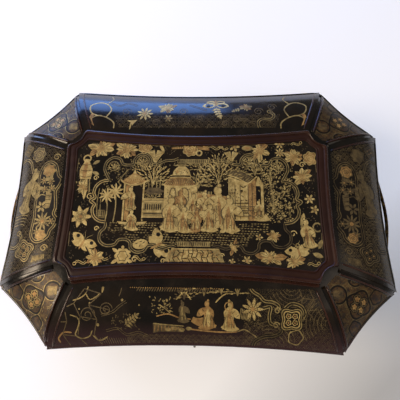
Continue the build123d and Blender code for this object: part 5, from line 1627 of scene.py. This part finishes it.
WALL_TOP, WALL_FOOT, DRAWER_TOP = 108, 39.5, 69      # of the borders, mm
LOCK = (0, 94, 17)                                   # its middle and the room it needs, mm
FRAME_MIDDLE, FRAME_LINES, LEAF_PITCH = 116.8, (113.6, 120.0), 4.4     # mm
wall_length = sides(CASE_RING[0])[0]
for k, name in enumerate(SIDES):
    half = wall_length[k] / 2
    sheet = Gilding()
    low, keep_out = (DRAWER_TOP, LOCK) if name == "front" else (WALL_FOOT, None)
    bordered(sheet, half - 7, low, WALL_TOP)
    vine(sheet, half - 12, low + 4, WALL_TOP - 4, 60 + 9 * k, keep_out)
    gild_side(sheet, f"gilding_wall_{name}", "case", f"wall_{name}", k)
    # Leaves and dots along the lid's frame, above the joint
    frame_sheet = Gilding()
    x = np.arange(-half + 8, half - 8, LEAF_PITCH)
    row = np.stack([x, FRAME_MIDDLE + 0 * x], axis=1)
    frame_sheet.strokes(row, LEAF_PITCH, 2.0, 45)
    frame_sheet.strokes(row + (LEAF_PITCH / 2, 0), 2.6, 1.2, -45, FAINT)
    for y in FRAME_LINES:
        frame_sheet.line([(-half + 5, y), (0, y), (half - 5, y)], 0.7)
    gild_side(frame_sheet, f"gilding_frame_{name}", "lid", "lid_frame", k)

drawer_sheet = Gilding()
bordered(drawer_sheet, 100.5, 41.0, 62.6, 1.8)
for side in (1, -1):
    g = drawer_sheet.at(0, 0, flip=side < 0)
    vine(g.at(78, 0), 18, 43.5, 60.0, 150)
    vine(g.at(24, 0), 20, 43.5, 60.0, 170)
    g.loop(55, 51.7, 8.2, 0.9, LINE, 1, lobes=8, depth=0.05)
gild_side(drawer_sheet, "gilding_drawer", "drawer", "drawer_front", 0)
print("sheets laid", len(laid), "faces", sum(count for _, count in laid))

# %% [markdown]
# ** The floor** is matt white paper with a painted shade: its colour turns greyer towards the front right, near the box, where less light falls on it. It also glows a little to the camera alone, less within the painted shade, so that it looks as bright as in a studio without lighting the box from below.
# %% The floor
FLOOR_HALF, FLOOR_POINTS = 4, 9      # half its edge in metres, and its points along an edge
floor_mesh = bpy.data.meshes.new("floor")
edge = np.linspace(-FLOOR_HALF, FLOOR_HALF, FLOOR_POINTS)
u, v = np.meshgrid(edge, edge, indexing="ij")
spots = np.stack([u, v, 0 * u], axis=-1).reshape(-1, 3)
index = np.arange(FLOOR_POINTS**2).reshape(FLOOR_POINTS, FLOOR_POINTS)
floor_mesh.from_pydata(spots, [], quads(index).tolist())
floor = linked("floor", floor_mesh)
floor_paper, tree, place = start("floor_paper")
axes = put(tree, "ShaderNodeSeparateXYZ", {0: place}).outputs
slant = reckoned(tree, "SUBTRACT", axes["X"], axes["Y"])
far = put(tree, "ShaderNodeVectorMath", {0: place}, operation="LENGTH").outputs["Value"]
# Painted shade: the paper's colour greys towards the front right and fades out away from the
# box
shade = reckoned(tree, "MULTIPLY", between(tree, slant, 0.20, 0.40),
                 between(tree, far, 0.45, 0.85, 1.0, 0.0))
# The camera sees the paper a little brighter than it lights the box
seen = put(tree, "ShaderNodeLightPath").outputs["Is Camera Ray"]
lift = reckoned(tree, "ADD", between(tree, shade, 0, 1, 0.20, 0.0),
                between(tree, far, 0.5, 1.8, 0.0, 0.5))
lift = reckoned(tree, "MULTIPLY", seen, lift)
# The paper's white turns to the grey of the painted shade
finish_off(tree, {"Base Color": mixed(tree, shade, linear("#f4f6fb"), linear("#c2c6ce")),
                  "Roughness": 0.9, "Specular IOR Level": 0.0,
                  "Emission Color": linear("#f2f5ff"), "Emission Strength": lift})
floor_mesh.materials.append(floor_paper)
print("floor points", len(spots))

# %% [markdown]
# **Light and camera.** Half of the light is a plain sky that casts no glare, because what
# mirrors see of it is dim. The rest is a wide soft lamp at the left, where no panel mirrors
# it to the camera, a weak one at the right, and two cool windows low behind, which show as
# blue bands in the polished back panel and its left neighbour: a slope mirrors whatever
# lies at twice its own tilt.
# %% The sky, the lamps and the camera
world = bpy.data.worlds.new("studio")
scene.world = world
world.use_nodes = True
tree = world.node_tree
tree.nodes.clear()
path = put(tree, "ShaderNodeLightPath").outputs
seen = reckoned(tree, "MAXIMUM", path["Is Glossy Ray"], path["Is Transmission Ray"])
# What lights the box, what mirrors see, and what the camera sees
sky, mirrored, white = (
    put(tree, "ShaderNodeBackground", {0: linear(code), 1: strength}).outputs[0]
    for code, strength in (("#fffbf4", 0.46), ("#f4f4f4", 0.10), ("#f6f6f6", 0.90)))
for share, other in ((seen, mirrored), (path["Is Camera Ray"], white)):
    sky = put(tree, "ShaderNodeMixShader", {0: share, 1: sky, 2: other}).outputs[0]
put(tree, "ShaderNodeOutputWorld", {0: sky})


def lamp(name, place, target, size, power, code):
    """An area lamp, size wide and high, at place, facing target, in metres and watts."""
    light = bpy.data.lights.new(name, "AREA")
    light.shape = "RECTANGLE"
    light.size, light.size_y = size
    light.energy = power
    light.color = linear(code)[:3]
    item = linked(name, light)
    item.location = place
    item.rotation_euler = (Vector(target) - Vector(place)).to_track_quat("-Z", "Y").to_euler()


lamp("lamp_left", (-1.40, -0.30, 1.34), (0, 0, 0.1), (0.80, 0.80), 22, "#ffe8cc")
lamp("lamp_right", (1.05, -0.30, 1.65), (0, 0, 0.1), (0.9, 0.9), 1.6, "#ffeedd")
lamp("lamp_window", (-0.44, 1.6, 0.50), (0, 0, 0.14), (1.05, 0.85), 16, "#76a2f2")
lamp("lamp_window_side", (-1.3, 1.15, 0.50), (0, 0, 0.14), (0.7, 0.7), 9, "#9ab6ea")

camera = bpy.data.cameras.new("camera")
camera.lens, camera.sensor_width = 30.6, 36.0
item = linked("camera", camera)
item.location = (0.0133, -0.0832, 0.4466)
item.rotation_euler = [radians(a) for a in (15.88, 1.44, 0.85)]
scene.camera = item
scene.view_settings.view_transform = "Standard"
